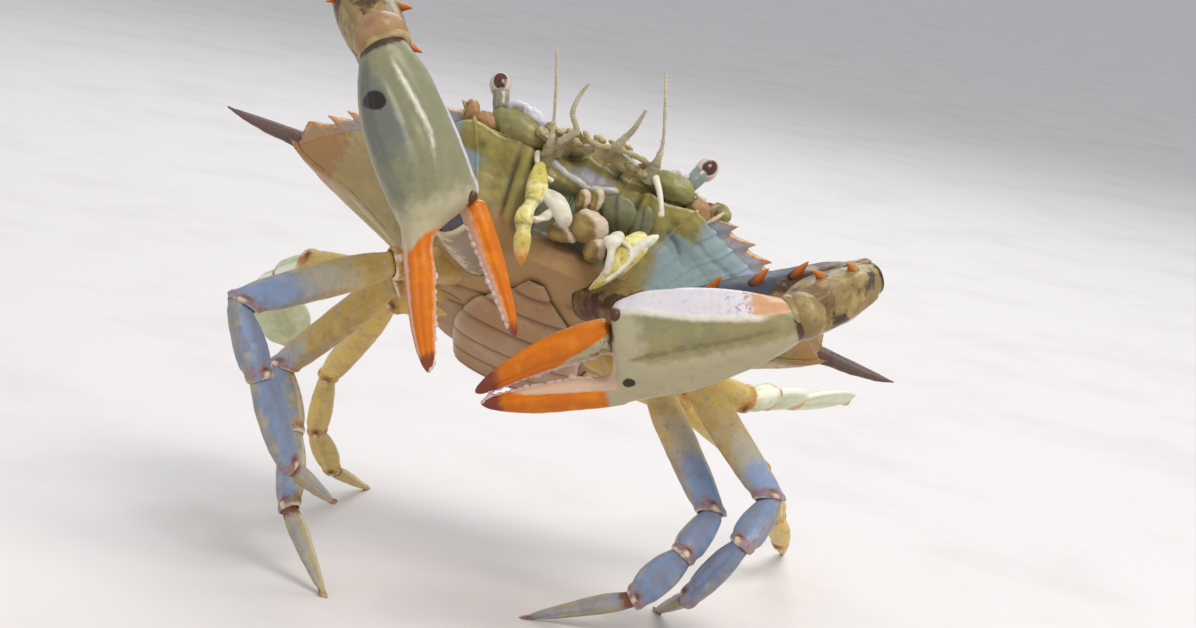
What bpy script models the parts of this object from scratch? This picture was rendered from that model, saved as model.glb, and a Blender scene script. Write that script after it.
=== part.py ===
"""Atlantic blue crab (Callinectes sapidus), adult female, as a still life-size model.

The crab stands with its body pitched up, its mouth and underside turned to the front, and its
two claws held forward. Lengths are in millimetres until a mesh is made, and metres after that.

Two frames are used. The stand frame has z up, z = 0 on the floor and -y towards the viewer.
The body frame has x to the crab's left, y to its rear and z to its back (the dorsal side).
"""

import math

import bmesh
import bpy
from mathutils import Vector

MM = 0.001
GAP = 0.3

# Where the model stands: this point of the floor becomes the origin.
STAND_CENTRE = (-10.38, -5.44)

# Pose of the body in the stand frame.
BODY_PLACE = (-10.5, 0.0, 72.5)
BODY_PITCH = -52.0
BODY_ROLL = 12.0
BODY_YAW = -4.0

# Carapace, in the body frame.
SPINE_TIP = (75.0, -1.0)
SPINE_INSET = 16.5
TOOTH_INSET = 4.2
NOTCH_INSET = 1.6
SHELL_HEIGHT = 14.0
SHELL_RIM = 2.4
SHELL_CENTRE = (0.0, 3.0)
ORBIT_CORNER = (28.0, -28.6)
MARGIN_BEND = (45.5, -19.5)
LAST_TOOTH = (57.5, -6.4)
SPINE_NOTCH = (58.5, -0.8)
SIDE_TEETH = 7
TOOTH_HEIGHT = 3.0
BROW_HEIGHT = 3.2
BROW_HALF_WIDTH = 32.0

# Trunk below the carapace.
TRUNK_TOP = -3.2
TRUNK_INSET = 0.94
TRUNK_BULGE = 2.6
TRUNK_FRONT = 26.0
FLANK_HOLLOW = 1.4
BREAST_HALF_WIDTH = 22.0
BREAST_HALF_LENGTH = 22.0
BREAST_MIDDLE = 6.5
BREAST_SQUARENESS = 2.6
BREAST_Z = -20.4
BREAST_REAR_SLOPE = 0.3

LEG_SIDES = 8
CLAW_SIDES = 10
THIN_SIDES = 6

# Relative outlines of limb segments: (place along, half breadth, half thickness).
SHAPES = {
    "base": ((0.0, 1.0, 1.0), (0.5, 1.0, 1.0), (1.0, 0.88, 0.88)),
    "merus": ((0.0, 0.68, 0.8), (0.22, 0.95, 1.0), (0.6, 1.0, 1.0), (0.87, 0.88, 0.95), (1.0, 0.72, 0.8)),
    "carpus": ((0.0, 0.72, 0.8), (0.35, 0.95, 1.0), (0.8, 1.0, 1.0), (1.0, 0.76, 0.8)),
    "propodus": ((0.0, 0.72, 0.85), (0.3, 1.0, 1.0), (0.75, 0.96, 0.95), (1.0, 0.62, 0.8)),
    "dactyl": ((0.0, 0.86, 0.95), (0.2, 1.0, 1.0), (0.55, 0.8, 0.85), (0.85, 0.5, 0.6), (1.0, 0.36, 0.5)),
    "paddle": ((0.0, 0.34, 1.0), (0.16, 0.75, 1.0), (0.42, 1.0, 0.85), (0.7, 0.93, 0.7), (0.9, 0.6, 0.6),
               (1.0, 0.16, 0.5)),
    "arm": ((0.0, 0.7, 0.75), (0.25, 0.95, 1.0), (0.65, 1.0, 1.0), (0.88, 0.9, 0.95), (1.0, 0.7, 0.75)),
    "wrist": ((0.0, 0.7, 0.72), (0.3, 1.0, 1.0), (0.75, 1.0, 1.0), (1.0, 0.68, 0.74)),
}

# Half breadth and half thickness of each kind of segment.
WALKING_SIZES = {
    "base": (3.7, 3.4), "merus": (3.5, 2.7), "carpus": (3.1, 2.6), "propodus": (3.4, 2.0), "dactyl": (2.0, 1.6),
}
# The last pair of walking legs is slighter than the others.
LEG_GIRTH = {"right_4": 0.8, "left_4": 0.8}
SWIMMING_SIZES = {"merus": (4.4, 3.0), "carpus": (3.8, 2.7), "propodus": (4.8, 2.0), "paddle": (6.0, 1.2)}
CLAW_SIZES = {"base": (5.2, 4.8), "arm": (6.2, 5.6), "wrist": (6.2, 5.8)}
WALKING_PARTS = ("base", "merus", "carpus", "propodus", "dactyl")
SWIMMING_PARTS = ("merus", "carpus", "propodus", "paddle")
CLAW_PARTS = ("base", "arm", "wrist")

# Joints of the walking legs in the stand frame, from the trunk to the tip.
WALKING_LEGS = {
    "right_2": ((-32, -15, 67), (-42, -23, 67), (-70, -30, 55), (-63, -36, 42), (-55, -33, 25), (-47, -14, 14)),
    "right_3": ((-34, -8, 62), (-42, -14, 62), (-63, -3, 38), (-58, -11, 26), (-55, -21, 13), (-44, -34, 0)),
    "right_4": ((-33, -1, 57), (-43, 0, 55), (-56, 22, 32), (-57, 27, 18), (-53, 35, 8), (-46, 54, 0)),
    "left_2": ((5, -18, 59), (19, -22, 57), (41, -20, 32), (36, -30, 24), (28, -24, 10), (23, -4, 0)),
    "left_3": ((5, -11, 53), (13, -13, 51), (30, -16, 26), (25, -27, 19), (17, -25, 8), (-4, -25, 0)),
    "left_4": ((5, -2, 48), (21, 0, 44), (41, 18, 29), (47, 27, 17), (50, 40, 8), (53, 62, 0)),
}
LIFTED_LEGS = ("right_2",)

SWIMMING_LEGS = {
    "right": ((-27, 4, 57), (-64, 22, 56), (-69, 28, 52), (-73, 34, 47), (-67, 44, 33)),
    "left": ((-1, 3, 51), (35, 18, 44), (40, 25, 44), (47, 37, 42), (61, 62, 39)),
}
PADDLE_BROAD = {"right": (0.9, 0.1, 0.4), "left": (0.7, -0.3, 0.5)}

# Claws: joints to the far end of the palm, the way from the fixed finger to the moving one, and
# the palm and fingers as (along the palm's axis from the wrist, across it).
CLAWS = {
    "right": {
        "joints": ((-27, -23, 74), (-31, -36, 80), (-56, -35, 119), (-47, -52, 111), (-32, -58, 87)),
        "across": (8, 8, 7),
        # Palm sections: (along from the wrist, lower edge, upper edge, half thickness).
        "palm": ((0.0, -5.2, 3.8, 4.6), (6.5, -8.2, 5.6, 5.8), (16.0, -10.2, 6.6, 6.4), (26.0, -10.2, 6.7, 6.2),
                 (31.0, -9.9, 6.2, 5.4)),
        "fixed": {"root": (34.0, -7.0), "tip": (59.0, -15.6), "bulge": -0.6, "girth": 0.82},
        "moving": {"root": (31.5, 5.0), "tip": (58.0, 3.5), "bulge": 0.4, "girth": 0.68},
    },
    "left": {
        "joints": ((2, -25, 67), (11, -37, 67), (48, -42, 82), (35, -56, 75), (5, -54, 63)),
        "across": (-1, 0, 16),
        "palm": ((0.0, -5.0, 4.0, 4.6), (4.5, -6.6, 5.8, 5.6), (10.0, -8.0, 7.8, 6.4), (20.0, -9.6, 9.8, 6.8),
                 (28.0, -9.6, 10.0, 6.5), (31.5, -9.6, 8.8, 5.6)),
        "fixed": {"root": (34.0, -6.3), "tip": (60.0, -4.6), "bulge": -0.6, "girth": 0.9},
        "moving": {"root": (32.5, 3.6), "tip": (60.5, -2.4), "bulge": 1.4, "girth": 0.92},
    },
}
FIXED_SIZES = ((0.0, 4.0, 4.1), (0.3, 3.4, 3.5), (0.6, 2.9, 2.8), (0.85, 1.9, 1.9), (1.0, 0.8, 0.9))
MOVING_SIZES = ((0.0, 3.6, 3.7), (0.15, 3.7, 3.8), (0.4, 3.4, 3.2), (0.65, 2.7, 2.5), (0.87, 1.8, 1.7),
                (1.0, 0.8, 0.8))

# Tail, folded forward under the trunk: (y, z) of its inner face, half width and thickness.
APRON = ((30.0, -2.5, 9.5, 2.6), (30.0, -7.5, 11.0, 2.8), (29.2, -12.6, 12.5, 2.8), (24.0, -14.5, 13.4, 2.6),
         (15.0, -18.0, 13.8, 2.4), (6.5, -21.0, 13.2, 2.2), (0.0, -21.0, 10.5, 2.0), (-5.5, -21.0, 5.2, 1.7),
         (-10.5, -21.0, 1.6, 1.0))
APRON_ARC = 6

# Small parts of the front: (x, y, z) in the body frame for the left side, and a radius.
EYE = ((18.6, -23.0, -0.6, 2.0), (19.8, -25.6, 2.8, 1.8), (21.1, -27.6, 6.2, 1.7), (21.9, -27.9, 7.8, 2.2),
       (22.9, -28.0, 9.6, 2.3), (23.8, -28.0, 11.2, 1.2))
# The same for the parts that differ between the sides, in the stand frame.
ANTENNAE = {
    "right": ((-15.2, -16.5, 90.5, 2.2), (-16.0, -21.5, 95.0, 1.9), (-15.4, -24.0, 100.5, 0.8),
              (-15.4, -26.0, 107.0, 0.5), (-16.9, -26.0, 114.5, 0.32)),
    "left": ((3.4, -17.5, 87.5, 2.2), (5.4, -21.5, 91.5, 1.9), (6.8, -24.0, 96.0, 0.8),
             (6.4, -26.5, 104.0, 0.5), (5.0, -26.0, 114.0, 0.32)),
}
ANTENNULES = {
    "right": ((-9.6, -17.0, 91.5, 1.7), (-9.4, -21.5, 95.8, 1.5), (-10.9, -27.0, 102.5, 1.0),
              (-10.6, -29.0, 106.0, 0.6), (-9.2, -30.0, 109.5, 0.32)),
    "left": ((-2.8, -17.5, 90.5, 1.7), (-1.8, -21.5, 94.4, 1.5), (0.7, -27.0, 100.5, 1.0),
             (1.6, -29.0, 103.5, 0.6), (2.5, -30.0, 106.5, 0.32)),
}
MOUTH_PLATES = {
    "right": ((-13.5, -19.0, 79.0), (-14.6, -26.0, 84.0), (-16.6, -31.5, 86.0), (-18.0, -34.5, 81.0),
              (-17.4, -34.0, 73.5)),
    "left": ((-1.6, -20.0, 75.0), (1.4, -27.0, 80.0), (4.6, -32.5, 82.0), (3.6, -35.5, 76.5),
             (-0.2, -35.0, 71.0)),
}
MOUTH_SIZES = ((3.6, 2.6), (3.9, 2.4), (3.8, 2.1), (3.2, 1.8), (1.3, 1.0))
MOUTH_BROAD = (1.0, 0.2, 0.3)

COLOURS = {
    "carapace": (0.20, 0.25, 0.13), "thorax": (0.42, 0.45, 0.26), "abdomen": (0.62, 0.47, 0.36),
    "eye": (0.16, 0.08, 0.04), "antenna": (0.72, 0.68, 0.58), "antennule": (0.72, 0.66, 0.52),
    "maxilliped": (0.66, 0.60, 0.26), "base": (0.62, 0.55, 0.36), "arm": (0.42, 0.46, 0.36),
    "wrist": (0.36, 0.36, 0.20), "hand": (0.50, 0.52, 0.36), "finger": (0.80, 0.24, 0.04),
    "merus": (0.60, 0.54, 0.30), "carpus": (0.30, 0.36, 0.50), "propodus": (0.22, 0.32, 0.55),
    "dactyl": (0.45, 0.40, 0.38), "paddle": (0.58, 0.62, 0.34),
}
SHELL_ROUGHNESS = 0.42
SHADE_ANGLE = 50.0


def clear_scene():
    """Remove every object of the starting scene."""
    for old in list(bpy.data.objects):
        bpy.data.objects.remove(old, do_unlink=True)


def empty(name, place, turn=(0.0, 0.0, 0.0), parent=None):
    """An empty that carries parts; place in millimetres, turn in degrees about x, y, z."""
    frame = bpy.data.objects.new(name, None)
    frame.location = Vector(place) * MM
    frame.rotation_euler = [math.radians(angle) for angle in turn]
    frame.parent = parent
    bpy.context.scene.collection.objects.link(frame)
    return frame


def finish(name, kind):
    """A shell material in the colour of this kind of part."""
    material = bpy.data.materials.new(name + "_shell")
    material.use_nodes = True
    shader = material.node_tree.nodes["Principled BSDF"]
    shader.inputs["Base Color"].default_value = (*COLOURS[kind], 1.0)
    shader.inputs["Roughness"].default_value = SHELL_ROUGHNESS
    shader.inputs["Metallic"].default_value = 0.0
    return material


def solid(name, kind, points, faces, parent):
    """One closed object from points in millimetres and faces, turned to face outwards."""
    mesh = bpy.data.meshes.new(name)
    mesh.from_pydata([Vector(point) * MM for point in points], [], faces)
    work = bmesh.new()
    work.from_mesh(mesh)
    bmesh.ops.recalc_face_normals(work, faces=work.faces)
    bmesh.ops.triangulate(work, faces=work.faces)
    work.to_mesh(mesh)
    work.free()
    mesh.shade_smooth()
    mesh.set_sharp_from_angle(angle=math.radians(SHADE_ANGLE))
    mesh.materials.append(finish(name, kind))
    thing = bpy.data.objects.new(name, mesh)
    thing.parent = parent
    bpy.context.scene.collection.objects.link(thing)
    return thing


def grown_copy(thing):
    """A hidden copy of a solid, larger by the gap all round, to cut its neighbours with."""
    work = bmesh.new()
    work.from_mesh(thing.data)
    work.normal_update()
    for vertex in work.verts:
        vertex.co += vertex.normal * GAP * MM * vertex.calc_shell_factor()
    mesh = bpy.data.meshes.new(thing.name + "_cutter")
    work.to_mesh(mesh)
    work.free()
    cutter = bpy.data.objects.new(thing.name + "_cutter", mesh)
    cutter.parent = thing.parent
    cutter.hide_render = True
    cutter.display_type = "WIRE"
    bpy.context.scene.collection.objects.link(cutter)
    return cutter


def cut_clear(thing, cutters):
    """Cut a solid back to the gap from what carries it."""
    for cutter in cutters:
        modifier = thing.modifiers.new("clear_of_" + cutter.name, "BOOLEAN")
        modifier.operation = "DIFFERENCE"
        modifier.solver = "EXACT"
        modifier.object = cutter


def closed_loft(rings, first_cap, last_cap):
    """Points and faces of a closed skin over rings of equal count, each end a fan to one point."""
    count = len(rings[0])
    points = [point for ring in rings for point in ring]
    faces = []
    for row in range(len(rings) - 1):
        for k in range(count):
            after = (k + 1) % count
            low, high = row * count, (row + 1) * count
            faces.append((low + k, low + after, high + after, high + k))
    points.append(first_cap)
    points.append(last_cap)
    first, last = len(points) - 2, len(points) - 1
    top = (len(rings) - 1) * count
    for k in range(count):
        after = (k + 1) % count
        faces.append((first, after, k))
        faces.append((last, top + k, top + after))
    return points, faces


def middle(ring):
    """Mean of a ring's points."""
    total = Vector((0.0, 0.0, 0.0))
    for point in ring:
        total += point
    return total / len(ring)


def across(axis, hint):
    """The breadth direction nearest to the hint, and the thickness direction."""
    broad = (hint - axis * hint.dot(axis)).normalized()
    return broad, axis.cross(broad)


def section(broad, thin, half_broad, half_thin, sides):
    """Offsets of an oval section's points."""
    offsets = []
    for k in range(sides):
        angle = 2.0 * math.pi * k / sides
        offsets.append(broad * half_broad * math.cos(angle) + thin * half_thin * math.sin(angle))
    return offsets


class Cut:
    """A plane that ends a segment: a mitre that it shares with its neighbour, or a flat."""

    def __init__(self, point, normal, gap):
        self.point = Vector(point)
        self.normal = Vector(normal).normalized()
        self.gap = gap

    def along(self, origin, axis, outward):
        """How far along the axis from the origin the plane lies, less half the gap."""
        shifted = self.point - self.normal * (self.gap / 2.0) * outward
        return (shifted - origin).dot(self.normal) / axis.dot(self.normal)


def segment_rings(start, end, hint, shape, sizes, start_cut, end_cut, sides):
    """Rings of a limb segment between two cut planes."""
    axis = (end - start).normalized()
    length = (end - start).length
    broad, thin = across(axis, hint)
    first = section(broad, thin, shape[0][1] * sizes[0], shape[0][2] * sizes[1], sides)
    last = section(broad, thin, shape[-1][1] * sizes[0], shape[-1][2] * sizes[1], sides)
    overhang = 0.55 * sizes[1]
    lows = [0.0] * sides
    highs = [length] * sides
    if start_cut:
        lows = [max(start_cut.along(start + offset, axis, -1.0), -overhang) for offset in first]
    if end_cut:
        highs = [min(end_cut.along(start + offset, axis, 1.0), length + overhang) for offset in last]
    rings = []
    for along, half_broad, half_thin in shape:
        offsets = section(broad, thin, half_broad * sizes[0], half_thin * sizes[1], sides)
        ring = []
        for k in range(sides):
            travel = lows[k] + (highs[k] - lows[k]) * along
            ring.append(start + axis * travel + offsets[k])
        rings.append(ring)
    return rings


def tube(name, kind, centres, sizes, hint, sides, parent, point_beyond=0.4):
    """A closed tube through centres, with a half breadth and half thickness at each."""
    rings = []
    for place, centre in enumerate(centres):
        before = centres[max(place - 1, 0)]
        after = centres[min(place + 1, len(centres) - 1)]
        axis = (after - before).normalized()
        broad, thin = across(axis, hint)
        ring = [centre + offset for offset in section(broad, thin, *sizes[place], sides)]
        rings.append(ring)
    end_way = (centres[-1] - centres[-2]).normalized()
    points, faces = closed_loft(rings, middle(rings[0]), centres[-1] + end_way * point_beyond)
    return solid(name, kind, points, faces, parent)


def bend_normals(joints):
    """For each inner joint, the normal of the plane that splits the bend evenly."""
    normals = []
    for before, here, after in zip(joints, joints[1:], joints[2:]):
        normals.append(((here - before).normalized() + (after - here).normalized()).normalized())
    return normals


def flexion_axis(joints):
    """The axis that a leg's bends turn about, on the whole."""
    total = Vector((0.0, 0.0, 0.0))
    for before, here, after in zip(joints[1:], joints[2:], joints[3:]):
        total += (here - before).cross(after - here)
    return total.normalized()


def margin_half():
    """Edge of the carapace from the front to the rear, left half: (x, y, inset of the rim)."""
    edge = [(0.0, -29.0, NOTCH_INSET), (4.5, -31.5, TOOTH_INSET), (7.5, -28.0, NOTCH_INSET),
            (11.0, -30.0, TOOTH_INSET), (13.5, -26.0, NOTCH_INSET), (19.0, -23.5, NOTCH_INSET),
            (24.0, -25.0, NOTCH_INSET)]
    corner, bend, end = Vector(ORBIT_CORNER), Vector(MARGIN_BEND), Vector(LAST_TOOTH)
    for tooth in range(SIDE_TEETH + 1):
        share = tooth / SIDE_TEETH
        tip = bezier(corner, bend, end, share)
        edge.append((tip.x, tip.y, TOOTH_INSET))
        if tooth == SIDE_TEETH:
            break
        valley = bezier(corner, bend, end, share + 0.42 / SIDE_TEETH)
        inward = (Vector(SHELL_CENTRE) - valley).normalized()
        valley += inward * TOOTH_HEIGHT
        edge.append((valley.x, valley.y, NOTCH_INSET))
    edge += [(*SPINE_NOTCH, NOTCH_INSET), (*SPINE_TIP, SPINE_INSET), (59.5, 2.6, 2.0), (54.0, 7.0, 2.0),
             (46.0, 12.0, 2.0), (36.0, 18.5, 2.0), (26.0, 28.5, 2.0), (12.0, 33.0, 2.0), (0.0, 33.0, 2.0)]
    return edge


def bezier(start, bend, end, share):
    """A point on a quadratic curve."""
    return start * (1.0 - share) ** 2 + bend * 2.0 * share * (1.0 - share) + end * share ** 2


def mirrored(half):
    """A whole loop from its left half; the first and last entries lie on the midline."""
    other = [(-entry[0], *entry[1:]) for entry in half[-2:0:-1]]
    return list(half) + other


def shell_rim(edge):
    """The smooth line just inside the carapace's teeth."""
    centre = Vector((*SHELL_CENTRE, 0.0))
    rim = []
    for x, y, inset in edge:
        spoke = Vector((x, y, 0.0)) - centre
        rim.append(centre + spoke * (1.0 - inset / spoke.length))
    return rim


def brow(spot):
    """How far the front of the shell is arched up over the eyes."""
    return BROW_HEIGHT * max(0.0, 1.0 - (spot.x / BROW_HALF_WIDTH) ** 2) * min(1.0, max(0.0, -spot.y / 20.0))


def carapace(edge, rim, parent):
    """The dorsal shell: a low dome with toothed front edges and two long side spines."""
    centre = Vector((*SHELL_CENTRE, 0.0))
    outer = [Vector((x, y, 0.0)) for x, y, _ in edge]
    outer = [spot + Vector((0.0, 0.0, brow(spot))) for spot in outer]
    rings = []
    for share in (0.3, 0.7, 1.0):
        rings.append([centre + (spot - centre) * share + Vector((0, 0, -2.9 + 0.9 * share ** 3)) for spot in rim])
    rings.append(outer)
    for share in (1.0, 0.86, 0.66, 0.4):
        rise = SHELL_RIM + (SHELL_HEIGHT - SHELL_RIM) * (1.0 - share ** 2.3)
        ring = [centre + (spot - centre) * share + Vector((0, 0, rise)) for spot in rim]
        rings.append([spot + Vector((0.0, 0.0, brow(spot) * share)) for spot in ring])
    points, faces = closed_loft(rings, centre - Vector((0, 0, 2.9)), centre + Vector((0, 0, SHELL_HEIGHT)))
    return solid("carapace", "carapace", points, faces, parent)


def breast_edge(spot):
    """The point of the breast plate's edge that lies below a point of the shell's rim."""
    way = Vector((spot.x, spot.y - BREAST_MIDDLE)).normalized()
    power = BREAST_SQUARENESS
    reach = abs(way.x / BREAST_HALF_WIDTH) ** power + abs(way.y / BREAST_HALF_LENGTH) ** power
    way /= reach ** (1.0 / power)
    y = BREAST_MIDDLE + way.y
    return Vector((way.x, y, BREAST_Z + BREAST_REAR_SLOPE * max(0.0, y)))


def trunk(rim, parent):
    """The trunk under the carapace, narrowing from the shell's rim to the breast plate."""
    centre = Vector((*SHELL_CENTRE, TRUNK_TOP))
    upper = [centre + Vector((spot.x, spot.y - SHELL_CENTRE[1], 0.0)) * TRUNK_INSET for spot in rim]
    lower = [breast_edge(spot) for spot in rim]
    rings = [[centre.lerp(top, 0.5) for top in upper], upper]
    for share in (0.3, 0.6, 0.85, 1.0):
        ring = []
        for top, bottom in zip(upper, lower):
            spot = top.lerp(bottom, share)
            spot.z = TRUNK_TOP + (bottom.z - TRUNK_TOP) * share ** FLANK_HOLLOW
            spot.y -= TRUNK_BULGE * max(0.0, -top.y / TRUNK_FRONT) * math.sin(math.pi * share)
            ring.append(spot)
        rings.append(ring)
    floor = Vector((0.0, BREAST_MIDDLE, BREAST_Z))
    rings.append([floor + (spot - floor) * 0.55 for spot in lower])
    points, faces = closed_loft(rings, centre, floor)
    return solid("thorax", "thorax", points, faces, parent)


def apron(parent):
    """The broad tail of a female, folded under the trunk: flat inside and rounded outside."""
    rings = []
    for place, (y, z, half_width, thickness) in enumerate(APRON):
        before = APRON[max(place - 1, 0)]
        after = APRON[min(place + 1, len(APRON) - 1)]
        way = Vector((0.0, after[0] - before[0], after[1] - before[1])).normalized()
        outward = Vector((0.0, -way.z, way.y))
        middle_line = Vector((0.0, y, z))
        ring = [middle_line]
        for k in range(APRON_ARC + 1):
            angle = math.pi * k / APRON_ARC
            wide = Vector((half_width * math.cos(angle), 0.0, 0.0))
            ring.append(middle_line + wide + outward * thickness * math.sin(angle))
        rings.append(ring)
    points, faces = closed_loft(rings, middle(rings[0]), middle(rings[-1]))
    return solid("abdomen", "abdomen", points, faces, parent)


def eyes(parent, cutters):
    """Two stalked eyes in the orbits."""
    for side, sign in (("right", -1.0), ("left", 1.0)):
        centres = [Vector((sign * x, y, z)) for x, y, z, _ in EYE]
        sizes = [(radius, radius) for *_, radius in EYE]
        eye = tube("eye_" + side, "eye", centres, sizes, Vector((0, 1, 0)), LEG_SIDES, parent)
        cut_clear(eye, cutters)


def feelers(kind, both, parent, cutters):
    """One slender feeler on each side, thick at its root."""
    for side, stations in both.items():
        centres = [Vector(station[:3]) for station in stations]
        sizes = [(station[3], station[3]) for station in stations]
        feeler = tube(kind + "_" + side, kind, centres, sizes, Vector((1, 0.2, 0)), THIN_SIDES, parent)
        cut_clear(feeler, cutters)


def mouth_plates(parent, cutters):
    """The outer pair of mouth legs, hanging open."""
    for side, stations in MOUTH_PLATES.items():
        centres = [Vector(station) for station in stations]
        plate = tube("maxilliped_" + side, "maxilliped", centres, MOUTH_SIZES, Vector(MOUTH_BROAD),
                     LEG_SIDES, parent)
        cut_clear(plate, cutters)


def limb(label, parts, joints, sizes, broads, sides, end_cut, parent, root_cutters, sunk):
    """One solid for each segment of a limb, with mitred joints between them."""
    spots = [Vector(joint) for joint in joints]
    normals = bend_normals(spots)
    made = []
    for place, part in enumerate(parts):
        start, end = spots[place], spots[place + 1]
        start_cut = Cut(start, normals[place - 1], GAP) if place else None
        stop = Cut(end, normals[place], GAP) if place < len(normals) else end_cut
        if not place:
            start = start - (end - start).normalized() * sunk
        rings = segment_rings(start, end, broads[place], SHAPES[part], sizes[part], start_cut, stop, sides)
        points, faces = closed_loft(rings, middle(rings[0]), middle(rings[-1]))
        piece = solid(label + "_" + part, part, points, faces, parent)
        if not place:
            cut_clear(piece, root_cutters)
        if part == "wrist":
            cut_clear(piece, [grown_copy(made[-1])])
        made.append(piece)


def walking_legs(parent, root_cutters):
    """Six walking legs; each foot that stands ends in a small flat on the floor."""
    for label, joints in WALKING_LEGS.items():
        spots = [Vector(joint) for joint in joints]
        turn = flexion_axis(spots)
        broads = [turn.cross(after - before) for before, after in zip(spots, spots[1:])]
        foot = None if label in LIFTED_LEGS else Cut(spots[-1], (0, 0, -1), 0.0)
        girth = LEG_GIRTH.get(label, 1.0)
        sizes = {part: (broad * girth, thin * girth) for part, (broad, thin) in WALKING_SIZES.items()}
        limb("leg_" + label, WALKING_PARTS, joints, sizes, broads, LEG_SIDES, foot, parent, root_cutters, 4.0)


def swimming_legs(parent, root_cutters):
    """The last pair of legs, each ending in a thin oval paddle."""
    for side, joints in SWIMMING_LEGS.items():
        broads = [Vector(PADDLE_BROAD[side])] * len(SWIMMING_PARTS)
        limb("leg_" + side + "_5", SWIMMING_PARTS, joints, SWIMMING_SIZES, broads, LEG_SIDES, None, parent,
             root_cutters, 2.0)


def finger_rings(wrist, axis, broad, thin, finger, sizes):
    """Rings of a curved finger from its root to its tip, both given as (along, across)."""
    rings = []
    low, high = Vector(finger["root"]), Vector(finger["tip"])
    bend = (low + high) / 2.0 + Vector((0.0, 2.0 * finger["bulge"]))
    for share, half_broad, half_thin in sizes:
        half_broad, half_thin = half_broad * finger["girth"], half_thin * finger["girth"]
        spot = bezier(low, bend, high, share)
        way = (bend - low).lerp(high - bend, share).normalized()
        ahead = axis * way.x + broad * way.y
        side = broad * way.x - axis * way.y
        centre = wrist + axis * spot.x + broad * spot.y
        rings.append([centre + offset for offset in section(side, thin, half_broad, half_thin, CLAW_SIDES)])
    tip_point = wrist + axis * spot.x + broad * spot.y + ahead * 0.8
    return rings, tip_point


def hand(side, claw, parent, wrist_normal):
    """The palm with its fixed finger as one solid, and the moving finger as another."""
    wrist, palm_end = Vector(claw["joints"][-2]), Vector(claw["joints"][-1])
    axis = (palm_end - wrist).normalized()
    broad, thin = across(axis, Vector(claw["across"]))
    wrist_cut = Cut(wrist, wrist_normal, GAP)
    rings = []
    for along, low, high, half_thin in claw["palm"]:
        centre = wrist + axis * along + broad * (low + high) / 2.0
        offsets = section(broad, thin, (high - low) / 2.0, half_thin, CLAW_SIDES)
        ring = [centre + offset for offset in offsets]
        if not rings:
            ring = [spot + axis * wrist_cut.along(spot, axis, -1.0) for spot in ring]
        rings.append(ring)
    fixed, tip_point = finger_rings(wrist, axis, broad, thin, claw["fixed"], FIXED_SIZES)
    points, faces = closed_loft(rings + fixed, middle(rings[0]), tip_point)
    palm = solid("cheliped_" + side + "_hand", "hand", points, faces, parent)
    moving, tip_point = finger_rings(wrist, axis, broad, thin, claw["moving"], MOVING_SIZES)
    points, faces = closed_loft(moving, middle(moving[0]), tip_point)
    finger = solid("cheliped_" + side + "_finger", "finger", points, faces, parent)
    cut_clear(finger, [grown_copy(palm)])


def claws(parent, root_cutters):
    """Both claw legs."""
    for side, claw in CLAWS.items():
        spots = [Vector(joint) for joint in claw["joints"]]
        turn = flexion_axis(spots)
        broads = [turn.cross(after - before) for before, after in zip(spots, spots[1:])]
        wrist_normal = bend_normals(spots)[-1]
        limb("cheliped_" + side, CLAW_PARTS, claw["joints"][:4], CLAW_SIZES, broads, CLAW_SIDES,
             Cut(spots[3], wrist_normal, GAP), parent, root_cutters, 4.0)
        hand(side, claw, parent, wrist_normal)


def build():
    """Make the whole crab."""
    clear_scene()
    stand = empty("stand", (-STAND_CENTRE[0], -STAND_CENTRE[1], 0.0))
    body = empty("body", BODY_PLACE, (BODY_PITCH, BODY_ROLL, BODY_YAW), stand)
    edge = mirrored(margin_half())
    rim = shell_rim(edge)
    shell = carapace(edge, rim, body)
    chest = trunk(rim, body)
    shell_cutter = grown_copy(shell)
    chest_cutter = grown_copy(chest)
    both = [chest_cutter, shell_cutter]
    apron(body)
    eyes(body, both)
    feelers("antenna", ANTENNAE, stand, both)
    feelers("antennule", ANTENNULES, stand, both)
    mouth_plates(stand, both)
    claws(stand, [chest_cutter])
    walking_legs(stand, [chest_cutter])
    swimming_legs(stand, both)


build()
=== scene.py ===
"""Looks of the Atlantic blue crab (Callinectes sapidus), an adult female in life size.

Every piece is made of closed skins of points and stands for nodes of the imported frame. Lengths are
in millimetres until a mesh is made. The stand frame has z up, the floor at z = 0 and -y towards the
viewer. The body frame has x to the crab's left, y to its rear and z to its back.
"""

import itertools
import math

import bpy
import numpy as np
from mathutils import Euler, Matrix, Vector


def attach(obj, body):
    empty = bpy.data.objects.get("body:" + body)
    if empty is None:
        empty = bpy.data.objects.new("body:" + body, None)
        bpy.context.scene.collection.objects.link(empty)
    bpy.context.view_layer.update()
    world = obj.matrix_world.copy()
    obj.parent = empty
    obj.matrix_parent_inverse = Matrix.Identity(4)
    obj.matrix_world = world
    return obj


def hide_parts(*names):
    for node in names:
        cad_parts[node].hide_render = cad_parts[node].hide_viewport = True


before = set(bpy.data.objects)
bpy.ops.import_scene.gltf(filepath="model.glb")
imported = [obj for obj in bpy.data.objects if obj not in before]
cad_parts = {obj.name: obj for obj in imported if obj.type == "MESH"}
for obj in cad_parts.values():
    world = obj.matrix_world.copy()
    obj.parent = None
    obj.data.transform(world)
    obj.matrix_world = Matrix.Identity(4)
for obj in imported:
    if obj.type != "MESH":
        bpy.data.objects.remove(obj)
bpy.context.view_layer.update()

MM = 0.001
TAU = 2.0 * math.pi
UP = np.array((0.0, 0.0, 1.0))
MIRROR = {"right": -1.0, "left": 1.0}

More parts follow.
